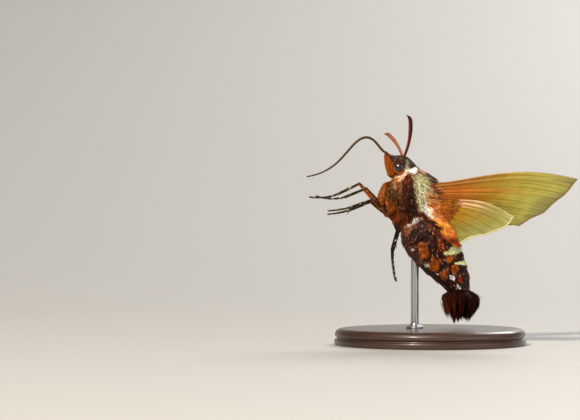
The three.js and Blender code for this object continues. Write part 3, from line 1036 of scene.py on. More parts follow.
class Studs:
    """Grows small tapered studs, such as rings and cilia, on given places by Geometry Nodes."""

    def __init__(self) -> None:
        """Builds the tree once."""
        self.tree = bpy.data.node_groups.new("Studs", "GeometryNodeTree")
        face = self.tree.interface
        face.new_socket("Places", in_out="INPUT", socket_type="NodeSocketGeometry")
        for name, kind in (
            ("Sides", "Int"), ("Base radius", "Float"), ("Top radius", "Float"), ("Height", "Float"),
            ("Unevenness", "Float"), ("Seed", "Int"), ("Finish", "Material"),
        ):
            face.new_socket(name, in_out="INPUT", socket_type=f"NodeSocket{kind}")
        face.new_socket("Studs", in_out="OUTPUT", socket_type="NodeSocketGeometry")
        kit = NodeKit(self.tree)
        start, end = kit.add("NodeGroupInput"), kit.add("NodeGroupOutput")
        given = start.outputs
        cone = kit.add("GeometryNodeMeshCone", {
            "Vertices": given["Sides"], "Radius Bottom": given["Base radius"],
            "Radius Top": given["Top radius"], "Depth": given["Height"],
        }, fill_type="NGON")
        way = kit.add("GeometryNodeInputNamedAttribute", {"Name": "way"}, data_type="FLOAT_VECTOR")
        size = kit.add("GeometryNodeInputNamedAttribute", {"Name": "size"}, data_type="FLOAT")
        turn = kit.add("FunctionNodeAlignRotationToVector", {"Vector": way.outputs["Attribute"]}, axis="Z")
        least = kit.add("ShaderNodeMath", {0: 1.0, 1: given["Unevenness"]}, operation="SUBTRACT")
        random = kit.add(
            "FunctionNodeRandomValue", {2: least.outputs[0], "Seed": given["Seed"]}, data_type="FLOAT")
        scale = kit.add(
            "ShaderNodeMath", {0: size.outputs["Attribute"], 1: random.outputs[1]}, operation="MULTIPLY")
        grown = kit.add("GeometryNodeInstanceOnPoints", {
            "Points": given["Places"], "Instance": cone.outputs["Mesh"],
            "Rotation": turn.outputs["Rotation"], "Scale": scale.outputs[0],
        })
        real = kit.add("GeometryNodeRealizeInstances", {"Geometry": grown.outputs["Instances"]})
        dressed = kit.add("GeometryNodeSetMaterial", {
            "Geometry": real.outputs["Geometry"], "Material": given["Finish"],
        })
        kit.feed(end, {"Studs": dressed.outputs["Geometry"]})

    def grow(
        self, name: str, places: Array, ways: Array, sizes: Array, tint: Array, slot: str, **inputs: object,
    ) -> bpy.types.Object:
        """Grows studs and makes them one plain mesh that rides on the body.

        Args:
            name: The new piece's name.
            places: Where each stud stands, in millimetres along the body.
            ways: The way each points.
            sizes: The size of each, as a share of the tree's own sizes.
            tint: The colour of each.
            slot: The record's material slot.
            **inputs: Values for the tree's named inputs, lengths in metres.

        Returns:
            The new piece.
        """
        mesh = bpy.data.meshes.new(f"{name}_places")
        mesh.vertices.add(len(places))
        mesh.vertices.foreach_set("co", BODY_FRAME.to_world(places).astype(np.float32).ravel())
        for key, kind, label, values in (
            ("way", "FLOAT_VECTOR", "vector", BODY_FRAME.turned(ways)),
            ("size", "FLOAT", "value", np.asarray(sizes)),
            (TINT, "FLOAT_COLOR", "color", np.concatenate([tint, np.ones((len(tint), 1))], axis=1)),
        ):
            mesh.attributes.new(key, kind, "POINT").data.foreach_set(label, values.astype(np.float32).ravel())
        seat = bpy.data.objects.new(f"{name}_seat", mesh)
        bpy.context.scene.collection.objects.link(seat)
        modifier = seat.modifiers.new("Studs", "NODES")
        modifier.node_group = self.tree
        sockets = {item.name: item.identifier for item in self.tree.interface.items_tree}
        for key, value in inputs.items():
            modifier[sockets[key.replace("_", " ").capitalize()]] = value
        graph = bpy.context.evaluated_depsgraph_get()
        made = bpy.data.meshes.new_from_object(seat.evaluated_get(graph), depsgraph=graph)
        made.polygons.foreach_set("use_smooth", np.ones(len(made.polygons), bool))
        seat.modifiers.clear()
        bpy.data.objects.remove(seat)
        return mounted(name, made, slot)


@dataclass
class Part:
    """A sub-assembly, which dresses its pieces in the model's finishes and may grow studs."""

    finishes: Finishes
    studs: Studs

    def build(self) -> None:
        """Builds the sub-assembly's pieces."""
        raise NotImplementedError


@dataclass
class Trunk(Surface):
    """Head, thorax and abdomen as one surface, from the snout at u = 0 to the tail at u = 1.

    A station is a forward place with the heights of back and belly there and half the width, all over
    the coat. The inset is how deep under that the skin lies. The segments give the abdomen's front
    and rear end and its rings, and step is how far each ring's rear edge stands over the next.
    """

    stations: tuple[tuple[float, float, float, float], ...] = (
        (9.15, -0.58, -0.98, 0.22),
        (8.75, -0.38, -0.98, 0.5),
        (8.4, 0.08, -1.0, 0.95),
        (8.0, 0.85, -1.05, 1.4),
        (7.4, 1.5, -1.15, 1.95),
        (6.5, 1.98, -1.5, 2.15),
        (5.25, 2.42, -2.1, 2.2),
        (4.95, 2.55, -3.0, 2.55),
        (4.3, 2.95, -4.15, 3.2),
        (3.2, 3.5, -4.95, 3.65),
        (1.6, 3.9, -5.3, 3.9),
        (0.2, 3.9, -5.2, 3.85),
        (-1.0, 3.65, -4.95, 3.65),
        (-1.9, 3.25, -4.65, 3.35),
        (-2.5, 3.1, -4.75, 3.4),
        (-3.5, 3.05, -5.05, 3.65),
        (-5.1, 2.8, -5.15, 3.75),
        (-7.0, 2.45, -4.85, 3.6),
        (-9.0, 2.15, -4.2, 3.2),
        (-11.0, 1.8, -3.4, 2.65),
        (-12.7, 1.4, -2.7, 2.05),
        (-14.2, 0.75, -2.1, 1.4),
        (-14.9, 0.2, -1.7, 0.8),
    )
    inset: Table = (
        (9.15, 0.04), (8.4, 0.12), (6.5, 0.2), (5.2, 0.3), (3.5, 0.38), (0.0, 0.38), (-1.8, 0.24),
        (-2.6, 0.12), (-14.9, 0.1),
    )
    segments: tuple[float, float, int] = (-2.2, -14.7, 7)
    step: float = 0.13
    thinnest: float = 0.05

    def along(self, u: Array) -> Array:
        """The forward place of each u."""
        return self.stations[0][0] + (self.stations[-1][0] - self.stations[0][0]) * np.asarray(u)

    def share(self, x: float) -> float:
        """The u of a forward place."""
        return (x - self.stations[0][0]) / (self.stations[-1][0] - self.stations[0][0])

    def inside(self, u: Array, v: Array) -> Array:
        """The middle line's place at each u.

        Args:
            u: Places along the body, from 0 to 1.
            v: Places round it, which the middle line doesn't depend on.

        Returns:
            One point for each place.
        """
        x = self.along(np.clip(u, 0, 1))
        back, belly, _ = curve_at(self.stations, x).T
        return np.stack([x, 0 * x, (back + belly) / 2], axis=1)

    def point(self, u: Array, v: Array) -> Array:
        """The skin's points, under the coat.

        Args:
            u: Places along the body, from 0 to 1.
            v: Places round it, from 0 to 1.

        Returns:
            One point for each place, in millimetres along the body.
        """
        x = self.along(np.clip(u, 0, 1))
        back, belly, half = curve_at(self.stations, x).T
        front, tail, count = self.segments
        ring = (x - front) / (tail - front) * count
        lip = np.where((ring > 0) & (ring < count), self.step * (ring % 1) ** 1.5, 0)
        lower = profile(self.inset, x) - lip
        turn = v * FULL_TURN
        deep = np.maximum((back - belly) / 2 - lower, self.thinnest)
        wide = np.maximum(half - lower, self.thinnest)
        return np.stack([x, wide * np.cos(turn), (back + belly) / 2 + deep * np.sin(turn)], axis=1)


@dataclass
class Body(Part):
    """The skin of head, thorax and abdomen with its fur and scales."""

    trunk: Trunk = field(default_factory=Trunk)
    grid: tuple[int, int] = (420, 120)
    eye_room: float = 1.06
    under_fur: float = 0.62
    throat_top: float = -1.1
    throat_half: float = 1.6
    # The hair round a wing base: its front, the place of its step, and its top.
    wing_room: Triple = (4.2, -1.4, 2.9)
    # The lower edge of that hair before and behind the step: a place, its level and the slope.
    wing_edges: tuple[Triple, Triple] = ((-1.4, 0.15, 0.25), (-1.7, -1.1, -0.62))
    rear_hair: float = 0.55
    rear_ends: Pair = (-6.5, -1.0)

    def under_colour(self, points: Array) -> Array:
        """The skin's colour, which is the coat's own and darker."""
        return MARKINGS.colour(points) * self.under_fur

    def clear_of_eyes(self, roots: Array) -> Array:
        """True for roots that are far enough from both eyes."""
        away = [np.linalg.norm(roots - on_side(Eyes.at, side), axis=1) for side in SIDES.values()]
        return np.minimum(*away) > self.eye_room

    def on_throat(self, roots: Array) -> Array:
        """True for roots under the head and between the palps and the fore legs."""
        return (roots[:, 2] < self.throat_top) & (np.abs(roots[:, 1]) < self.throat_half)

    def by_wing(self, roots: Array) -> Array:
        """Finds the roots on the flanks round the wing bases.

        Args:
            roots: Where locks start.

        Returns:
            True for each root that stays.
        """
        x, z = roots[:, 0], roots[:, 2]
        front, step, top = self.wing_room
        before, behind = (level + slope * (x - place) for place, level, slope in self.wing_edges)
        return (x < front) & (z < top) & (z > np.where(x > step, before, behind))

    def by_wing_length(self, roots: Array) -> Array:
        """Longest behind the wing bases and shorter towards the tail."""
        return self.rear_hair + (1 - self.rear_hair) * smoothstep(*self.rear_ends, roots[:, 0])

    def over(
        self, count: int, ends: Pair, length: float, width: float, lock: Lock, **settings: object,
    ) -> Coat:
        """A coat over the trunk between two forward places, with any of a coat's other fields."""
        low, high = (self.trunk.share(x) for x in ends)
        return Coat(self.trunk, count, low, high, length, width, lock, **settings)

    def build(self) -> None:
        """Builds the skin and its coat."""
        shell = self.trunk.tube(*self.grid, self.under_colour)
        skin = shell.piece("body_skin", self.finishes["skin"], "body_fur")
        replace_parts(skin, "head", "thorax", "abdomen")
        plush = Lock(rise=0.34, lay=0.2)
        shaggy = Lock(rise=0.42, lay=0.34)
        upright = Lock(rise=1.1, lay=0.4)
        plate = Lock(((0.0, 0.6), (0.45, 1.0), (0.85, 0.75)), thick=0.2, rise=0.26, lay=0.08)
        strong = (0.5, 1.5, 0.45)
        # Pale locks in the thorax fur: partly pale brown hairs and partly painted highlights of sun on single
        # hairs.
        buff_glint = (0.08, "a87850")
        furs = {
            "head_fur": self.over(
                7500, (9.0, 5.0), 0.6, 0.13, plush, seed=11, keep=self.clear_of_eyes, shades=strong,
                glint=(0.2, "a09482"),
            ),
            "collar_fur": self.over(
                2400, (5.75, 4.5), 1.25, 0.17, shaggy, sway=0.35, seed=14, shades=(0.6, 1.4, 0.35),
            ),
            "thorax_fur_front": self.over(
                9500, (4.7, 1.5), 1.25, 0.17, plush, sway=0.3, seed=12, shades=strong, glint=buff_glint,
            ),
            "thorax_fur_rear": self.over(
                10500, (1.5, -1.45), 1.2, 0.17, plush, sway=0.3, seed=15, shades=strong, glint=buff_glint,
            ),
            "throat_fur": self.over(
                1100, (6.2, 4.9), 0.7, 0.14, upright, sway=0.3, seed=18, keep=self.on_throat,
                shades=(0.75, 1.3, 0.3),
            ),
            "waist_fur": self.over(
                2200, (-1.1, -2.2), 0.6, 0.13, plush, sway=0.4, seed=17, shades=(0.6, 1.5, 0.4),
            ),
            "wing_base_fur": self.over(
                9500, (4.2, -6.6), 2.1, 0.18, shaggy, comb=(-1, 0.1, 0.62), sway=0.3, seed=16,
                keep=self.by_wing, scale=self.by_wing_length, shades=(0.55, 1.35, 0.35),
            ),
        }
        for name, coat in furs.items():
            coat.shell(MARKINGS.colour).piece(name, self.finishes["fur"], "body_fur", bake=True)
        scales = self.over(
            12400, (-1.9, -14.4), 0.68, 0.2, plate, sway=0.14, seed=13, shades=(0.5, 1.4, 0.5),
            glint=(0.1, "b08468"),
        )
        scales.shell(MARKINGS.colour).piece("abdomen_scales", self.finishes["scales"], "band_fur", bake=True)


@dataclass
class Eyes(Part):
    """The two round glossy eyes, dark in the middle and orange brown at the rim, most of all below."""

    at: Triple = (6.5, 1.62, -0.38)
    radius: float = 0.95
    long: float = 1.03
    slices: int = 40
    grid: tuple[int, int] = (60, 64)
    rim: str = "9c460c"
    pupil: str = "100503"
    rim_from: Pair = (0.45, 0.86)
    least_rim: float = 0.12
    low: Triple = (-0.884, 0.0, -0.467)

    def colour(self, centre: Array, points: Array) -> Array:
        """The colours of an eye by place.

        Args:
            centre: The eye's middle.
            points: The places.

        Returns:
            One colour for each place.
        """
        away = np.linalg.norm((points - centre)[:, [0, 2]], axis=1)
        lower = smoothstep(-0.5, 0.5, (points - centre) @ np.array(self.low))
        rim = smoothstep(*self.rim_from, away) * (self.least_rim + (1 - self.least_rim) * lower)
        return mix(plain(self.pupil, points), linear(self.rim), rim)

    def build(self) -> None:
        """Builds both eyes."""
        turn = np.linspace(0.001, 0.999, self.slices) * math.pi
        for name, side in SIDES.items():
            centre = on_side(self.at, side)
            path = centre + np.outer(-np.cos(turn) * self.radius, [0, side, 0])
            ball = Tube(path, np.sin(turn) * self.radius * self.long, face=(0, 0, 1))
            shell = ball.tube(*self.grid, partial(self.colour, centre))
            eye = shell.piece(f"eye_ball_{name}", self.finishes["eye"], "eye")
            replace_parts(eye, f"eye_{name}")


@dataclass
class Palps(Part):
    """The two furred palps under the snout."""

    root: Triple = (5.6, 0.98, -1.72)
    tip: Triple = (9.25, 0.6, -1.02)
    deep: float = 0.62
    wide: float = 0.56
    taper: Table = (
        (0, 0.6), (0.12, 0.9), (0.35, 1.0), (0.6, 0.94), (0.82, 0.66), (0.95, 0.38), (1, 0.15),
    )
    shade_line: Table = ((5.6, -1.5), (6.3, -1.28), (7.3, -1.0), (8.6, -1.05), (9.3, -1.1))
    ragged: Grain = Grain(0.12, 0.5, 24)
    rust: str = "803e06"
    shade: str = "34190d"
    grains: tuple[Grain, ...] = (Grain(0.25, 0.5, 21, (0.5, 1.0, 1.0)), Grain(0.2, 0.22, 23, (0.4, 1.0, 1.0)))
    rows: int = 40
    columns: int = 32
    hairs: int = 1700
    hair: Pair = (0.55, 0.11)

    def colour(self, points: Array) -> Array:
        """Orange rust, and dark along the upper side that meets the head.

        Args:
            points: Places on a palp.

        Returns:
            One colour for each place.
        """
        above = points[:, 2] - profile(self.shade_line, points[:, 0]) + self.ragged.at(points)
        tint = mix(plain(self.rust, points), linear(self.shade), smoothstep(-0.12, 0.2, above))
        return tint * grained(points, self.grains)[:, None]

    def build(self) -> None:
        """Builds both palps with their fur."""
        t = np.linspace(0, 1, self.rows)
        for name, side in SIDES.items():
            root, tip = on_side(self.root, side), on_side(self.tip, side)
            path = root + np.outer(t, tip - root)
            palp = Tube(path, self.deep * profile(self.taper, t), self.wide / self.deep)
            shell = palp.tube(self.rows, self.columns, self.colour)
            skin = shell.piece(f"palp_skin_{name}", self.finishes["skin"], "rust_fur")
            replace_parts(skin, f"palp_{name}")
            coat = Coat(
                palp, self.hairs, 0.02, 0.97, *self.hair, Lock(rise=0.3, lay=0.2), seed=22 + side,
                shades=(0.6, 1.4, 0.35),
            )
            coat.shell(self.colour).piece(f"palp_fur_{name}", self.finishes["fur"], "rust_fur", bake=True)


@dataclass
class Antennae(Part):
    """The two antennae, which thicken to a club and end in a hook.

    A pose is a side, how far the root rises from forward, how far the shaft bends down along its
    length and how far it splays out, in degrees. The hook is where it starts and how far it turns.
    """

    root: Triple = (7.45, 0.8, 0.9)
    length: float = 8.8
    steps: int = 48
    grid: tuple[int, int] = (150, 20)
    radii: Table = ((0, 0.19), (0.35, 0.23), (0.7, 0.31), (0.88, 0.25), (1, 0.04))
    hook: Pair = (0.84, 58)
    poses: tuple[tuple[str, float, float, float], ...] = (("left", 52, 36, 40), ("right", 20, 42, 55))
    rings: int = 40
    ringed: Pair = (0.03, 0.93)
    # Front and back tones of the near and far antenna: partly the antennae's own rust and dark sides, partly
    # painted light on the side that faces the light; the far antenna's paler pair is painted light on the
    # same colours.
    colours: tuple[tuple[str, str], ...] = (("8c3c14", "280c06"), ("c07448", "5c2814"))
    front: Triple = (0.467, 0.0, -0.884)

    def colour(self, shaft: Tube, tones: tuple[str, str], points: Array) -> Array:
        """Rust along the front and dark along the back, partly the antenna's own two tones and partly painted
        light on the side that faces the light; the far one is painted paler.

        Args:
            shaft: The antenna's shape.
            tones: Its colours in front and behind.
            points: Places on it.

        Returns:
            One colour for each place.
        """
        nearest = shaft.nearest(points)
        ahead = (points - shaft.path[nearest]) @ np.array(self.front) / shaft.radii[nearest]
        return mix(plain(tones[1], points), linear(tones[0]), smoothstep(-0.3, 0.8, ahead))

    def build(self) -> None:
        """Builds both antennae with the flared rings of their segments."""
        share = np.arange(1, self.steps + 1) / self.steps
        bend = np.maximum(0, share - self.hook[0]) / (1 - self.hook[0]) * self.hook[1]
        at = np.linspace(*self.ringed, self.rings)
        for (name, rise, fall, splay), tones in zip(self.poses, self.colours):
            side = SIDES[name]
            path = march(on_side(self.root, side), fall * share - rise + bend, splay, side, self.length)
            shaft = Tube(path, profile(self.radii, np.linspace(0, 1, len(path))))
            colour = partial(self.colour, shaft, tones)
            shell = shaft.tube(*self.grid, colour)
            antenna = shell.piece(f"antenna_shaft_{name}", self.finishes["horn"], "horn")
            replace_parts(antenna, f"antenna_{name}")
            places = shaft.inside(at, at)
            self.studs.grow(
                f"antenna_rings_{name}", places, shaft.way(at), profile(self.radii, at), colour(places),
                "horn", sides=14, base_radius=1.0 * MM, top_radius=1.1 * MM, height=0.5 * MM,
                unevenness=0.05, seed=3, finish=self.finishes["horn"],
            )


@dataclass
class Proboscis(Part):
    """The long tongue that arches forward and down."""

    root: Triple = (9.2, 0.0, -0.8)
    length: float = 15.3
    radius: float = 0.2
    taper: float = 0.5
    pitch: Table = (
        (0, 41), (0.1, 11), (0.2, 24), (0.28, 67), (0.36, 99), (0.48, 111), (0.62, 108), (0.78, 92), (1, 70),
    )
    steps: int = 120
    grid: tuple[int, int] = (220, 16)
    tone: str = "44300f"

    def build(self) -> None:
        """Builds the tongue."""
        pitches = profile(self.pitch, (np.arange(self.steps) + 0.5) / self.steps)
        path = march(self.root, pitches, 0, 1, self.length)
        t = np.linspace(0, 1, len(path))
        tongue = Tube(path, self.radius * (1 - self.taper * t ** 2))
        shell = tongue.tube(*self.grid, partial(plain, self.tone))
        piece = shell.piece("proboscis", self.finishes["horn"], "horn")
        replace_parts(piece, "proboscis_base", "proboscis_middle", "proboscis_tip")


@dataclass
class WingForm:
    """The outline and bend of one kind of wing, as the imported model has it.

    The margin gives how far the outer edge bulges along its length, and under and upper the colours
    from root to margin. A line is its place from the leading edge to the rear, its half width, its
    strength and its colour, and the cilia are their number and their length.
    """

    name: str
    root: Triple
    dihedral: float
    sweep: float
    span: float
    costa_bow: float
    root_chord: float
    tornus: Pair
    hind_bow: float
    camber: float
    lift: float
    veins: int
    margin: Table
    under: tuple[tuple[float, str], ...]
    upper: tuple[tuple[float, str], ...]
    fringe: str
    lines: tuple[tuple[float, float, float, str], ...]
    cilia: tuple[int, float]


@dataclass
class WingFace(Surface):
    """One face of a wing: u runs from root to margin, v from the leading edge to the rear."""

    form: WingForm
    side: int
    outer: int
    membrane: float = 0.07
    root_thick: float = 0.1
    vein_rise: float = 0.05
    vein_width: float = 0.13
    margin_chord: float = 8.0
    rounded: float = 0.02
    edge: float = 0.35

    def outline(self, r: Array, t: Array) -> tuple[Array, Array]:
        """Places along and across the span inside the outline.

        Args:
            r: Places from the root to the margin.
            t: Places from the leading edge to the rear.

        Returns:
            How far each is along the span, and how far behind it.
        """
        form = self.form
        tip, corner = np.array([form.span, 0.0]), np.array(form.tornus)
        run = corner - tip
        reach = np.linalg.norm(run)
        costa = [form.span * r, -form.costa_bow * np.sin(math.pi * r ** 1.5)]
        hind = [
            corner[0] * r,
            form.root_chord + (corner[1] - form.root_chord) * r - form.hind_bow * np.sin(math.pi * r),
        ]
        bulge = profile(form.margin, t)
        margin = [
            tip[0] + run[0] * t + bulge * run[1] / reach,
            tip[1] + run[1] * t - bulge * run[0] / reach,
        ]
        base = [0 * t, form.root_chord * t]
        found = []
        for k in (0, 1):
            ruled = costa[k] * (1 - t) + hind[k] * t + base[k] * (1 - r) + margin[k] * r
            corners = (1 - r) * t * k * form.root_chord + r * (tip[k] * (1 - t) + corner[k] * t)
            found.append(ruled - corners)
        return found[0], found[1]

    def vein(self, r: Array, t: Array) -> Array:
        """How much of a vein is at each place.

        Args:
            r: Places from the root to the margin.
            t: Places from the leading edge to the rear.

        Returns:
            1 on a vein and 0 between veins.
        """
        spacing = 1 / (self.form.veins - 1)
        away = np.abs((t / spacing + 0.5) % 1 - 0.5) * spacing
        chord = self.form.root_chord + (self.margin_chord - self.form.root_chord) * r
        return np.exp(-((away * chord / self.vein_width) ** 2))

    def inside(self, u: Array, v: Array) -> Array:
        """The place half way through the membrane."""
        return WingFace(self.form, self.side, 0).point(u, v)

    def point(self, u: Array, v: Array) -> Array:
        """The points of this face.

        Args:
            u: Places from the root to the margin.
            v: Places from the leading edge to the rear.

        Returns:
            One point for each place, in millimetres along the body.
        """
        form, side = self.form, self.side
        r, t = np.clip(u, 0, 1), np.clip(v, 0, 1)
        tilt, lean = math.radians(form.dihedral), math.radians(form.sweep)
        upward = np.array([0, side * math.sin(tilt), math.cos(tilt)])
        outward = np.array([0, side * math.cos(tilt), -math.sin(tilt)])
        forward = np.array([1.0, 0, 0])
        along = upward * math.cos(lean) - forward * math.sin(lean)
        across = -upward * math.sin(lean) - forward * math.cos(lean)
        x, y = self.outline(r, t)
        bend = form.lift * (x / form.span) ** 2 + form.camber * np.sin(math.pi * t) * np.sin(math.pi * r)
        rim = np.minimum(1, np.minimum(1 - r, np.minimum(t, 1 - t)) / self.rounded)
        thick = self.membrane + (self.root_thick - self.membrane) * (1 - r)
        half = thick / 2 * (self.edge + (1 - self.edge) * rim)
        half = half + self.vein_rise * self.vein(r, t) * (1 - 0.6 * r) * rim
        rise = (bend + self.outer * half)[:, None]
        return on_side(form.root, side) + x[:, None] * along + y[:, None] * across + rise * outward


@dataclass
class Wings(Part):
    """The four wings, thrown back over the body.

    Each kind of wing has hair over its base: how far it reaches, its number, and its length on the
    left and on the right. A strip of hair runs along the hind wing's rear edge: its end on the body,
    its direction, its length and its width at the root and at the tip.
    """

    rows: int = 90
    columns: int = 220
    hair: tuple[tuple[float, int, Pair], ...] = ((3.4, 800, (1.1, 0.24)), (5.0, 2600, (1.4, 0.36)))
    strip_hairs: int = 11000
    strip_end: Pair = (-1.0, -0.16)
    strip_way: Pair = (-0.966, 0.259)
    strip_length: float = 7.0
    strip_width: Pair = (1.35, 0.25)
    grains: tuple[Grain, ...] = (
        Grain(0.16, 1.2, 31, (0.1, 16.0, 1.0)),
        Grain(0.16, 1.2, 38, (0.16, 7.0, 1.0)),
        Grain(0.08, 1.8, 32),
    )
    drift: Grain = Grain(0.05, 2.0, 35, (0.3, 1.2, 1.0))
    line_sway: Grain = Grain(0.006, 2.0, 33, (0.3, 0.0, 0.0))
    vein_shade: float = 0.2
    hair_base: str = "a06018"
    hair_marks: tuple[Mark, ...] = (
        Mark((3.0, 1.7), (0.6, 2.0), 0.9, "c8b88a", 0.4),
        Mark((1.5, 2.9), (-0.9, 4.1), 0.55, "7a3820", 0.5),
        Mark((1.2, 3.4), (-1.4, 5.4), 0.3, "c09878", 0.25, 0.5),
        Mark((-0.4, 2.0), (-3.4, 3.2), 0.7, "944a14", 0.6),
        Mark((-1.8, 0.9), (-7.6, 2.1), 0.8, "fc8c38", 0.4, glow=1.15),
        Mark((-6.6, 1.5), (-8.4, 2.2), 0.7, "7c3414", 0.5),
        Mark((-1.2, 1.3), (-3.4, 1.9), 0.42, "9c4418", 0.35, 0.75),
        Mark((0.2, 1.5), (-0.9, 2.0), 0.4, "c88850", 0.4, 0.8),
        # Peach leading into a painted sunlit highlight at the wing base, white at its core.
        Mark((-1.6, 0.7), (-3.0, 1.0), 0.42, "f0a070", 0.45, 0.8),
        Mark((-0.6, 0.25), (-1.6, 0.3), 0.55, "ffe6cc", 0.3, glow=1.35),
    )
    hair_ragged: Grain = Grain(1.0, 0.7, 34)
    hair_grains: tuple[Grain, ...] = (
        Grain(0.3, 0.6, 42, (0.5, 1.0, 1.0)),
        Grain(0.25, 0.3, 43, (0.4, 1.0, 1.0)),
    )
    # How strongly the streaks of the hair change its red, green and blue.
    streak_powers: Triple = (0.8, 1.1, 1.4)
    forms: tuple[WingForm, ...] = (
        WingForm(
            "fore", (2.7, 2.3, 1.2), 22, 23.5, 24.4, 1.32, 2.3, (14.7, 6.8), -0.55, 0.5, 1.3, 9,
            ((0, 0), (0.1, 0.25), (0.25, 0.6), (0.45, 0.55), (0.62, 0.72), (0.82, 0.2), (1, 0)),
            ((0.0, "8c4410"), (0.28, "985210"), (0.5, "8e6a18"), (0.7, "968a38"), (0.88, "9a9448"),
             (1.0, "807844")),
            ((0.0, "4a2418"), (0.35, "5e2c1a"), (0.6, "3f2118"), (0.8, "8a5a3a"), (1.0, "4c2c20")),
            "8c7a4a",
            ((0.0, 0.014, 0.6, "d8b488"), (0.06, 0.03, 0.5, "5c4a10"), (0.1, 0.012, 0.5, "c89868"),
             (0.16, 0.05, 0.4, "6a4a10"), (0.33, 0.03, 0.5, "c46a28"), (0.42, 0.012, 0.5, "d88a40"),
             (0.52, 0.02, 0.4, "c87a2c"), (0.63, 0.012, 0.45, "d0a050"), (0.78, 0.02, 0.4, "b89040")),
            (300, 0.24),
        ),
        WingForm(
            "hind", (0.55, 3.3, 0.8), 28, 35, 14.1, 1.25, 1.9, (5.6, 6.3), -0.5, 0.4, 0.5, 7,
            ((0, 0), (0.1, 0.55), (0.22, 0.8), (0.36, 0.55), (0.5, 0.45), (0.65, -0.05), (0.82, -0.25),
             (1, 0)),
            ((0.0, "a4560f"), (0.3, "a05c10"), (0.5, "966c16"), (0.7, "907c32"), (0.9, "908c46"),
             (1.0, "a09c5c")),
            ((0.0, "8e3c1a"), (0.5, "a4481c"), (0.75, "7a3418"), (0.9, "3a1e16"), (1.0, "33201a")),
            "c8c28a",
            ((0.0, 0.02, 0.9, "e4c8a0"), (0.045, 0.012, 0.7, "a8605a"), (0.08, 0.018, 0.85, "e8ccb0"),
             (0.12, 0.012, 0.6, "8a4a34"), (0.15, 0.014, 0.7, "d8b088"), (0.24, 0.02, 0.4, "c87830"),
             (0.36, 0.015, 0.45, "d08a3c"), (0.5, 0.03, 0.4, "b87a20"), (0.66, 0.015, 0.4, "c49438")),
            (360, 0.36),
        ),
    )

    def colour(self, face: WingFace, r: Array, t: Array) -> Array:
        """The colours of a face by place on the wing.

        Args:
            face: The face.
            r: Places from root to margin.
            t: Places from the leading edge to the rear.

        Returns:
            One colour for each place.
        """
        form = face.form
        stops = form.under if face.outer > 0 else form.upper
        grid = np.stack([r * 24, t * 8, np.full(len(r), 3.0 * face.outer)], axis=1)
        drifted = np.clip(r + self.drift.at(grid), 0, 1)
        tint = rows_at(drifted, [place for place, _ in stops], np.array([linear(code) for _, code in stops]))
        for middle, half, strength, code in form.lines if face.outer > 0 else ():
            faded = 1 - 0.5 * r if middle == 0 else 1 - smoothstep(0.3, 0.95, r)
            away = (t - middle + self.line_sway.at(grid)) / half
            line = np.exp(-(away ** 2)) * smoothstep(-0.05, 0.12, r) * faded
            tint = mix(tint, linear(code), strength * line)
        veins = 1 - self.vein_shade * face.vein(r, t) * (1 - 0.4 * r)
        tint = tint * (grained(grid, self.grains) * veins)[:, None]
        return np.clip(mix(tint, linear(form.fringe), smoothstep(0.985, 1.0, r) * 0.6), 0, 1)

    def wing(self, form: WingForm, side: int) -> Shell:
        """One closed wing: both faces and the rim between them.

        Args:
            form: The kind of wing.
            side: 1 for the left and -1 for the right.

        Returns:
            The wing.
        """
        rows, columns = self.rows, self.columns
        r, t = np.linspace(0, 1, rows), np.linspace(0, 1, columns)
        rr, tt = np.repeat(r, columns), np.tile(t, rows)
        faces = [WingFace(form, side, outer) for outer in (1, -1)]
        points = np.concatenate([face.point(rr, tt) for face in faces])
        tint = np.concatenate([self.colour(face, rr, tt) for face in faces])
        i, j = np.meshgrid(np.arange(rows - 1), np.arange(columns - 1), indexing="ij")
        a = (i * columns + j).ravel()
        quads = np.stack([a, a + 1, a + columns + 1, a + columns], axis=1)
        back = rows * columns
        last = (rows - 1) * columns
        rim = np.concatenate([
            np.arange(columns - 1), np.arange(rows - 1) * columns + columns - 1,
            last + np.arange(columns - 1, 0, -1), np.arange(rows - 1, 0, -1) * columns,
        ])
        ahead = np.roll(rim, -1)
        sides = np.stack([ahead, rim, rim + back, ahead + back], axis=1)
        unwrap = np.concatenate([
            np.stack([rr, tt * 0.49], axis=1), np.stack([rr, 0.51 + tt * 0.49], axis=1),
        ])
        return Shell(points, [quads, quads[:, ::-1] + back, sides], unwrap, tint)

    def by_rear_edge(self, roots: Array) -> Array:
        """Finds the roots along a hind wing's rear edge, in a strip that narrows to its corner.

        Args:
            roots: Where hairs start.

        Returns:
            True for each root that stays.
        """
        forward, dorsal = self.strip_way
        away = roots[:, [0, 2]] - np.array(self.strip_end)
        share = away @ np.array([forward, dorsal]) / self.strip_length
        wide, narrow = self.strip_width
        return away @ np.array([dorsal, -forward]) < wide - (wide - narrow) * smoothstep(0.45, 1.05, share)

    @staticmethod
    def near_base(base: Array, reach: float, roots: Array) -> Array:
        """True for fewer and fewer roots from a wing's base to where its hair ends."""
        share = np.linalg.norm(roots - base, axis=1) / reach
        return np.random.default_rng(37).random(len(roots)) > share ** 1.2

    def hair_colour(self, points: Array) -> Array:
        """Colours of the long hair on the wing bases by place along the body."""
        tint = painted(plain(self.hair_base, points), self.hair_marks, points, self.hair_ragged.at(points))
        return tint * grained(points, self.hair_grains)[:, None] ** self.streak_powers

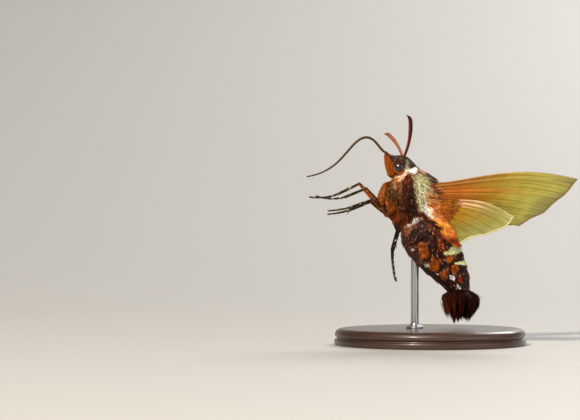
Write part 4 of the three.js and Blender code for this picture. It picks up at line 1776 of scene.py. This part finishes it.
    def hair_shell(self, face: WingFace, reach: float, hairs: int, length: float) -> Shell:
        """The hair over a wing's base, and on a hind wing also along its rear edge.

        Args:
            face: The wing's outer face.
            reach: How far from the root hair stands.
            hairs: How many hairs stand on the base.
            length: Their length.

        Returns:
            All the hair of the wing.
        """
        coats = [Coat(
            face, hairs, 0.0, reach / face.form.span, length, 0.1, Lock(rise=0.14, lay=0.1, thick=0.3),
            sway=0.14, uneven=0.5, seed=36, shades=(0.75, 1.1, 0.25),
            keep=partial(self.near_base, on_side(face.form.root, face.side), reach),
        )]
        if face.form.name == "hind":
            coats.append(Coat(
                face, self.strip_hairs, 0.0, 0.97, 1.0, 0.1, Lock(rise=0.3, lay=0.2), sway=0.2, uneven=0.4,
                seed=39, shades=(0.55, 1.3, 0.4), keep=self.by_rear_edge,
            ))
        return Shell.joined([coat.shell(self.hair_colour) for coat in coats])

    def build(self) -> None:
        """Builds the four wings with the hair at their bases and the fringe round their margins."""
        for form, (reach, hairs, lengths) in zip(self.forms, self.hair):
            fringes = []
            for (name, side), length in zip(SIDES.items(), lengths):
                shell = self.wing(form, side)
                piece = shell.piece(f"{form.name}_wing_{name}", self.finishes["wing"], "wing_scales")
                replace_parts(piece, f"wing_{form.name}_{name}")
                shell = self.hair_shell(WingFace(form, side, 1), reach, hairs, length)
                shell.piece(f"{form.name}_wing_hair_{name}", self.finishes["fur"], "wing_scales", bake=True)
                count, cilium = form.cilia
                t = np.linspace(0.0, 1.0, count)
                middle = WingFace(form, side, 0)
                rim, inner = (middle.point(np.full(count, u), t) for u in (1.0, 0.985))
                fringes.append((rim, unit(rim - inner), np.full(count, cilium)))
            places, ways, sizes = (np.concatenate(parts) for parts in zip(*fringes))
            self.studs.grow(
                f"{form.name}_wing_fringe", places, ways, sizes, plain(form.fringe, places), "wing_scales",
                sides=4, base_radius=0.14 * MM, top_radius=0.03 * MM, height=1.0 * MM, unevenness=0.35,
                seed=5, finish=self.finishes["fringe"],
            )


@dataclass(frozen=True)
class Limb:
    """How one kind of limb looks.

    It has a radius at each end, a number of hairs with their length and width, a tone above and one
    below, a share of pale specks that are painted glossy highlights, and a length that reaches back into
    the body behind its joint.
    """

    name: str
    radii: Pair
    hairs: int
    hair: Pair
    tones: tuple[str, str]
    highlight_flecks: float = 0.0
    swell: float = 0.1
    comb: Triple | None = None
    back: float = 0.0


@dataclass
class LegPose:
    """The limbs of one leg: length, pitch down from forward and splay outwards."""

    name: str
    side: int
    root: Triple
    coxa: Triple
    femur: Triple
    tibia: Triple
    tarsus: tuple[float, float, float, float]
    spurs: int
    warm: float


@dataclass
class Legs(Part):
    """The six legs, drawn up under the body."""

    poses: tuple[LegPose, ...] = (
        LegPose("leg_fore_left", 1, (4.9, 1.2, -3.5), (3.0, 142, -2), (3.65, 14.5, 8), (3.4, 84, 6),
                (4.6, 78, 42, 2), 0, 1.0),
        LegPose("leg_fore_right", -1, (4.9, 1.2, -3.5), (3.0, 136, -2), (4.6, 14, 10), (3.6, 88, 8),
                (4.6, 84, 52, 4), 0, 1.0),
        LegPose("leg_mid_left", 1, (1.5, 2.2, -3.9), (1.3, 104, 2), (3.5, 20, 26), (3.4, 82, 4),
                (3.6, 76, 66, 0), 1, 0.6),
        LegPose("leg_mid_right", -1, (1.5, 2.2, -3.9), (1.3, 104, 2), (3.4, 24, 30), (3.4, 84, 8),
                (3.6, 80, 66, 4), 1, 0.6),
        LegPose("leg_hind_left", 1, (0.05, 2.4, -3.2), (1.5, 110, 10), (1.4, 172, 16), (3.3, 135, 4),
                (4.7, 150, 168, 0), 2, 0.1),
        LegPose("leg_hind_right", -1, (0.05, 2.4, -3.2), (1.5, 110, 10), (1.4, 170, 18), (3.3, 138, 8),
                (4.7, 152, 166, 4), 2, 0.1),
    )
    limbs: tuple[Limb, ...] = (
        Limb("coxa", (0.26, 0.24), 1000, (0.7, 0.14), ("6a3010", "a4581c"), 0.0, 1.3, (-1.0, 0.15, -0.25),
             0.5),
        Limb("femur", (0.3, 0.21), 340, (0.3, 0.09), ("24120a", "a04c14"), 0.25),
        Limb("tibia", (0.15, 0.18), 300, (0.24, 0.07), ("1a0f08", "4a2c14"), 0.9),
        Limb("tarsus", (0.14, 0.1), 300, (0.17, 0.05), ("1a0f08", "3a2410"), 0.9),
    )
    joints: int = 5
    steps: int = 60
    pinch: float = 0.78
    bulge: float = 0.34
    spur: tuple[float, float, float, float] = (1.0, 0.1, 28, 0.4)
    # Pale specks on the dark leg scales: painted glossy highlights.
    highlight_fleck: str = "d8c8a0"
    highlight_flecks: Grain = Grain(1.0, 0.34, 41)
    rows: int = 40
    columns: int = 16
    longest_hair: float = 0.24

    def colour(self, limb: Limb, tube: Tube, warm: float, points: Array) -> Array:
        """The colours of a limb by place.

        Args:
            limb: How the limb looks.
            tube: Its shape.
            warm: How much of the tone of its underside shows.
            points: The places.

        Returns:
            One colour for each place.
        """
        axis = tube.path[tube.nearest(points)]
        below = smoothstep(-0.6, 0.6, (axis - points)[:, 2] / limb.radii[0]) * warm
        above, under = limb.tones
        tint = mix(plain(above, points), linear(under), below)
        # Painted glossy highlights as pale specks, most on tibia and tarsus.
        return mix(tint, linear(self.highlight_fleck), smoothstep(0.5, 0.75, self.highlight_flecks.at(points)) * limb.highlight_flecks)

    def limb(self, start: Array, end: Array, thick: float, thin: float, swelling: float) -> Tube:
        """A limb with round ends that swells along its length.

        Args:
            start: Its joint.
            end: The next joint.
            thick: Its radius at the start.
            thin: Its radius at the end.
            swelling: How much thicker it is half way, as a share.

        Returns:
            The limb.
        """
        past = 0.9
        length = np.linalg.norm(end - start)
        way = (end - start) / length
        place = -past * thick + np.linspace(0, 1, self.rows) * (length + past * (thick + thin))
        cap = np.sqrt(np.clip(np.minimum(place + thick, length + thin - place) / thick, 0.02, 1))
        share = np.clip(place / length, 0, 1)
        body = (thick + (thin - thick) * share) * (1 + swelling * np.sin(math.pi * share))
        return Tube(start + np.outer(place, way), body * cap)

    def tarsus(self, start: Array, pose: LegPose) -> Tube:
        """The jointed foot.

        Args:
            start: The tibia's end.
            pose: The leg's pose.

        Returns:
            The foot, with its joints' bulges and a blunt end.
        """
        length, low, high, splay = pose.tarsus
        pitches = low + (high - low) * np.arange(1, self.steps + 1) / self.steps
        path = march(start, pitches, splay, pose.side, length)
        t = np.linspace(0, 1, len(path))
        thick, thin = self.limbs[-1].radii
        within = t * self.joints % 1
        bulge = np.abs(np.sin(t * self.joints * math.pi)) ** 0.5 * (0.8 + 0.4 * within)
        joint = self.pinch + self.bulge * bulge
        return Tube(path, (thick + (thin - thick) * t) * joint * np.clip((1.04 - t) * 12, 0.1, 1))

    def spurs(self, start: Array, end: Array, pose: LegPose) -> list[Tube]:
        """The spurs of a tibia.

        Args:
            start: The tibia's start.
            end: Its end, where the first spur stands.
            pose: The leg's pose.

        Returns:
            One tube for each spur.
        """
        _, pitch, splay = pose.tibia
        length, radius, turn, spacing = self.spur
        t = np.linspace(0, 1, 12)
        way = direction(pitch + turn, splay, pose.side) * length
        roots = [end + (start - end) * spacing * i for i in range(pose.spurs)]
        return [Tube(root + np.outer(t, way), radius * (1.02 - t ** 2)) for root in roots]

    def tubes(self, limb: Limb, pose: LegPose, start: Array) -> tuple[list[Tube], Array]:
        """The tubes of one limb.

        Args:
            limb: The limb.
            pose: The leg's pose.
            start: The limb's joint.

        Returns:
            The tubes, the limb itself first, and the next joint.
        """
        if limb.name == "tarsus":
            return [self.tarsus(start, pose)], start
        length, pitch, splay = getattr(pose, limb.name)
        way = direction(pitch, splay, pose.side)
        end = start + way * length
        tubes = [self.limb(start - way * limb.back, end, *limb.radii, limb.swell)]
        if limb.name == "tibia":
            tubes += self.spurs(start, end, pose)
        return tubes, end

    def build(self) -> None:
        """Builds every leg with its scales."""
        coats = []
        for number, pose in enumerate(self.poses):
            start = on_side(pose.root, pose.side)
            atlas = (0.0, number / len(self.poses), 1.0, (number + 0.9) / len(self.poses))
            shells = []
            for limb in self.limbs:
                tubes, start = self.tubes(limb, pose, start)
                colour = partial(self.colour, limb, tubes[0], pose.warm)
                shells += [tube.tube(self.rows, self.columns, colour) for tube in tubes]
                length, width = limb.hair
                span = np.linalg.norm(tubes[0].path[-1] - tubes[0].path[0])
                coat = Coat(
                    tubes[0], limb.hairs, 0.03, 0.97, min(length, self.longest_hair * span), width,
                    Lock(rise=0.26, lay=0.14), comb=limb.comb, seed=50 + number, atlas=atlas,
                )
                coats.append(coat.shell(colour))
            piece = Shell.joined(shells).piece(f"{pose.name}_limbs", self.finishes["leg"], "leg_scales")
            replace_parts(piece, pose.name)
        Shell.joined(coats).piece("leg_fur", self.finishes["fur"], "leg_scales", bake=True)


@dataclass
class TailTuft(Part):
    """The brush of long hair scales at the tail, gathered into clumps.

    The flare is its half width and half depth, and spread how much of that it has along its length.
    The length is that of strands in the middle and at the rim. A stray is the share of strands that
    stand out and how far they do.
    """

    root: Triple = (-14.1, 0.0, -0.7)
    drop: float = 27.8
    flare: Pair = (3.05, 2.85)
    length: Pair = (5.15, 3.7)
    spread: Table = (
        (0, 0.4), (0.1, 0.55), (0.23, 0.8), (0.44, 0.98), (0.64, 1.0), (0.88, 0.93), (1, 0.86),
    )
    taper: Table = ((0, 0.8), (0.3, 1.0), (0.6, 1.0), (0.82, 0.7), (1, 0.0))
    count: int = 3000
    stray: Pair = (0.06, 0.1)
    clumps: int = 46
    clump_reach: float = 0.96
    clump_shift: float = 0.05
    gather: float = 0.5
    clump_lengths: Pair = (0.74, 1.08)
    strand_lengths: Pair = (0.84, 1.05)
    clump_splays: Pair = (-0.2, 0.26)
    strand_widths: Pair = (0.7, 1.2)
    strand_warmth: Pair = (0.6, 1.2)
    wave: float = 0.04
    stations: int = 7
    width: float = 0.17
    ridge: float = 0.28
    colours: tuple[str, str, str] = ("0b0302", "341004", "8a3810")

    def lines(self, share: Array, random: np.random.Generator) -> tuple[Array, Array, Array]:
        """Lays out the strands.

        Args:
            share: Places along a strand.
            random: Gives every draw.

        Returns:
            Each strand's place on a disc, its line and the way out of the tuft along it.
        """
        drop = math.radians(self.drop)
        axis = np.array([-math.cos(drop), 0, -math.sin(drop)])
        up = np.array([-math.sin(drop), 0, math.cos(drop)])
        strays, reach = self.stray
        disc = sunflower(self.count) * (1 + reach * (random.random((self.count, 1)) < strays))
        shifts = random.normal(0, self.clump_shift, (self.clumps, 2))
        hubs = sunflower(self.clumps) * self.clump_reach + shifts
        home = np.argmin(np.linalg.norm(disc[:, None] - hubs, axis=2), axis=1)
        inner, outer = self.length
        length = inner + (outer - inner) * np.linalg.norm(disc, axis=1) ** 2
        length = length * random.uniform(*self.clump_lengths, self.clumps)[home]
        length = length * random.uniform(*self.strand_lengths, self.count)
        splay = random.uniform(*self.clump_splays, self.clumps)[home]
        wave = 1 + self.wave * np.sin(share * 5 + random.uniform(0, 6, (self.count, 1)))
        pulled = disc[:, None] + (hubs[home] - disc)[:, None] * (self.gather * share ** 2)[:, None]
        ways = pulled[..., :1] * np.array([0, self.flare[0], 0]) + pulled[..., 1:] * self.flare[1] * up
        spread = profile(self.spread, share) * wave * (1 + splay[:, None] * share ** 2)
        centre = np.asarray(self.root) + (length[:, None] * share)[:, :, None] * axis
        return disc, centre + spread[:, :, None] * ways, unit(ways)

    def tint(self, disc: Array, share: Array, random: np.random.Generator) -> Array:
        """Colours the strands, warmest at the rim, towards the tips and below; the warmth is partly the
        hair's own rust and partly painted sunlight on the lower side, which faces the light.

        Args:
            disc: Each strand's place on the disc.
            share: Places along a strand.
            random: Gives every draw.

        Returns:
            One colour for each place of each strand.
        """
        dark, mid, light = (np.array(linear(code)) for code in self.colours)
        # Warmer below: painted sunlight on the side of the tuft that faces the light.
        warm = 0.3 + 0.7 * (1 - smoothstep(-0.7, 0.4, disc[:, 1]))
        warm = warm * random.uniform(*self.strand_warmth, self.count)
        rim = (np.linalg.norm(disc, axis=1) * warm)[:, None] * (0.35 + 0.65 * share)
        tint = dark + (mid - dark) * np.clip(rim * 1.5, 0, 1)[:, :, None]
        return tint + (light - mid) * np.clip(rim - 0.62, 0, 1)[:, :, None] * 1.6

    def build(self) -> None:
        """Builds the tuft."""
        random = np.random.default_rng(61)
        corners = ((-1, 0), (0, -self.ridge), (1, 0), (0, self.ridge))
        sides, share = len(corners), np.linspace(0, 1, self.stations)
        disc, centre, outward = self.lines(share, random)
        along = unit(np.gradient(centre, axis=1))
        side = unit(np.cross(along, outward))
        normal = np.cross(side, along)
        widths = self.width * random.uniform(*self.strand_widths, self.count)[:, None, None]
        half = widths / 2 * profile(self.taper, share)[:, None]
        points = np.stack([centre + half * (a * side + b * normal) for a, b in corners], axis=2)
        last = (self.stations - 1) * sides
        caps = [[0, 1, 2, 3], [last + 3, last + 2, last + 1, last]]
        start = (np.arange(self.count) * self.stations * sides)[:, None, None]
        faces = start + np.concatenate([ring_quads(self.stations, sides), caps])
        patch = np.stack([np.repeat(share, sides), np.tile([0, 0.5, 1, 0.5], self.stations)], axis=1)
        unwrap = (0.5 + 0.39 * disc)[:, None] + patch * BAKE_PATCH
        tint = np.repeat(self.tint(disc, share, random), sides, axis=1)
        shell = Shell(
            points.reshape(-1, 3), [faces.reshape(-1, 4)], unwrap.reshape(-1, 2), tint.reshape(-1, 3))
        piece = shell.piece("tail_tuft_hair", self.finishes["tuft"], "tuft_fur", bake=True)
        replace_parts(piece, "tail_tuft")


@dataclass(frozen=True)
class Turned(Surface):
    """A form turned round an upright axis; a point of its outline is a radius and a height."""

    outline: Table
    centre: Pair = (0.0, 0.0)

    def point(self, u: Array, v: Array) -> Array:
        """The form's points.

        Args:
            u: Places along the outline.
            v: Places round the axis.

        Returns:
            One point for each place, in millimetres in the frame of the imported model.
        """
        line = np.array(self.outline)
        run = np.concatenate([[0], np.cumsum(np.linalg.norm(np.diff(line, axis=0), axis=1))])
        radius, height = rows_at(u * run[-1], run, line).T
        turn = v * FULL_TURN
        x, y = self.centre
        return np.stack([x + radius * np.cos(turn), y + radius * np.sin(turn), height], axis=1)


@dataclass
class DisplayStand(Part):
    """The turned base and the rod that hold the moth."""

    base: Table = (
        (0.3, 0.0), (14.3, 0.0), (14.45, 0.08), (14.5, 0.25), (14.5, 0.75), (14.42, 0.88), (14.2, 0.95),
        (14.12, 1.05), (14.12, 1.15), (14.2, 1.25), (14.36, 1.33), (14.42, 1.5), (14.38, 1.85), (14.2, 2.15),
        (13.9, 2.38), (13.5, 2.48), (13.1, 2.5), (0.3, 2.5),
    )
    rod: Table = (
        (0.05, 2.45), (1.25, 2.45), (1.3, 2.52), (1.3, 2.75), (1.2, 2.86), (0.85, 2.92), (0.72, 3.0),
        (0.68, 3.2), (0.6, 3.28), (0.6, 12.9), (0.05, 12.9),
    )
    rod_place: Pair = (-2.3, 0.0)
    base_grid: tuple[int, int] = (440, 96)
    rod_grid: tuple[int, int] = (300, 48)

    def build(self) -> None:
        """Builds the base and the rod."""
        base, rod = Turned(self.base), Turned(self.rod, self.rod_place)
        for name, node, form, grid, finish, slot in (
            ("stand_base_turned", "stand_base", base, self.base_grid, "wood", "base_wood"),
            ("stand_rod_collar", "stand_rod", rod, self.rod_grid, "steel", "rod_steel"),
        ):
            shell = form.tube(*grid, partial(plain, "ffffff"))
            shell.upright = True
            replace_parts(shell.piece(name, self.finishes[finish], slot), node)


@dataclass
class Studio(Part):
    """The floor, the lights and the camera.

    Its sizes are in metres, apart from the camera's aim and distance, which are in millimetres. The
    bend is where the floor starts to turn up into the backdrop, and its radius.
    """

    lens: float = 150.0
    sensor: float = 36.0
    nearest: float = 0.01
    aim: Pair = (-21.2, 20.4)
    distance: float = 366.0
    front: float = -1.5
    half_width: float = 3.0
    bend: Pair = (0.12, 0.9)
    bend_steps: int = 30
    height: float = 3.0
    sky: str = "eef0f2"
    sky_strength: float = 0.3
    lit: Triple = (0.0, 0.0, 0.018)
    lights: tuple[tuple[str, Triple, float, float, str], ...] = (
        ("key", (-0.24, -0.5, 0.46), 0.1, 7.0, "fff4e4"),
        ("fill", (0.5, -0.4, 0.2), 0.5, 1.0, "eef3ff"),
        ("rim", (0.25, 0.5, 0.45), 0.3, 3.0, "ffffff"),
    )

    def floor(self, material: bpy.types.Material) -> None:
        """Builds the floor, which turns up into a backdrop.

        Args:
            material: Its finish.
        """
        start, radius = self.bend
        line = [(self.front, 0.0), (start, 0.0)]
        for turn in np.linspace(0.05, math.pi / 2, self.bend_steps):
            line.append((start + radius * math.sin(turn), radius - radius * math.cos(turn)))
        line.append((start + radius, self.height))
        points = [(x, y, z) for y, z in line for x in (-self.half_width, self.half_width)]
        faces = [(2 * i, 2 * i + 1, 2 * i + 3, 2 * i + 2) for i in range(len(line) - 1)]
        mesh = bpy.data.meshes.new("studio_floor")
        mesh.from_pydata(points, [], faces)
        mesh.polygons.foreach_set("use_smooth", [True] * len(faces))
        mesh.materials.append(material)
        floor = bpy.data.objects.new("studio_floor", mesh)
        bpy.context.scene.collection.objects.link(floor)

    def lamps(self) -> None:
        """Builds the lights and the pale surroundings."""
        scene = bpy.context.scene
        for name, place, size, power, tint in self.lights:
            data = bpy.data.lights.new(name, "AREA")
            data.size, data.energy, data.color = size, power, linear(tint)
            light = bpy.data.objects.new(name, data)
            light.location = place
            light.rotation_euler = (Vector(self.lit) - Vector(place)).to_track_quat("-Z", "Y").to_euler()
            scene.collection.objects.link(light)
        world = bpy.data.worlds.new("studio")
        world.use_nodes = True
        NodeKit(world.node_tree).feed(world.node_tree.nodes["Background"], {
            "Color": (*linear(self.sky), 1), "Strength": self.sky_strength,
        })
        scene.world = world
        scene.view_settings.view_transform = "Standard"

    def camera(self) -> None:
        """Sets up the camera, which looks straight along the y axis."""
        across, up = self.aim
        data = bpy.data.cameras.new("camera")
        data.lens, data.sensor_width, data.clip_start = self.lens, self.sensor, self.nearest
        camera = bpy.data.objects.new("camera", data)
        camera.location = (across * MM, -self.distance * MM, up * MM)
        camera.rotation_euler = (math.pi / 2, 0, 0)
        bpy.context.scene.collection.objects.link(camera)
        bpy.context.scene.camera = camera

    def build(self) -> None:
        """Builds the whole studio."""
        self.floor(self.finishes["floor"])
        self.lamps()
        self.camera()


def main() -> None:
    """Builds every part of the model and the studio."""
    logging.basicConfig(level=logging.INFO, format="%(name)s: %(message)s")
    finishes, studs = Finishes(), Studs()
    parts = (Studio, Body, Eyes, Palps, Proboscis, Legs, TailTuft, DisplayStand, Antennae, Wings)
    for part in parts:
        part(finishes, studs).build()


if __name__ == "__main__":
    main()
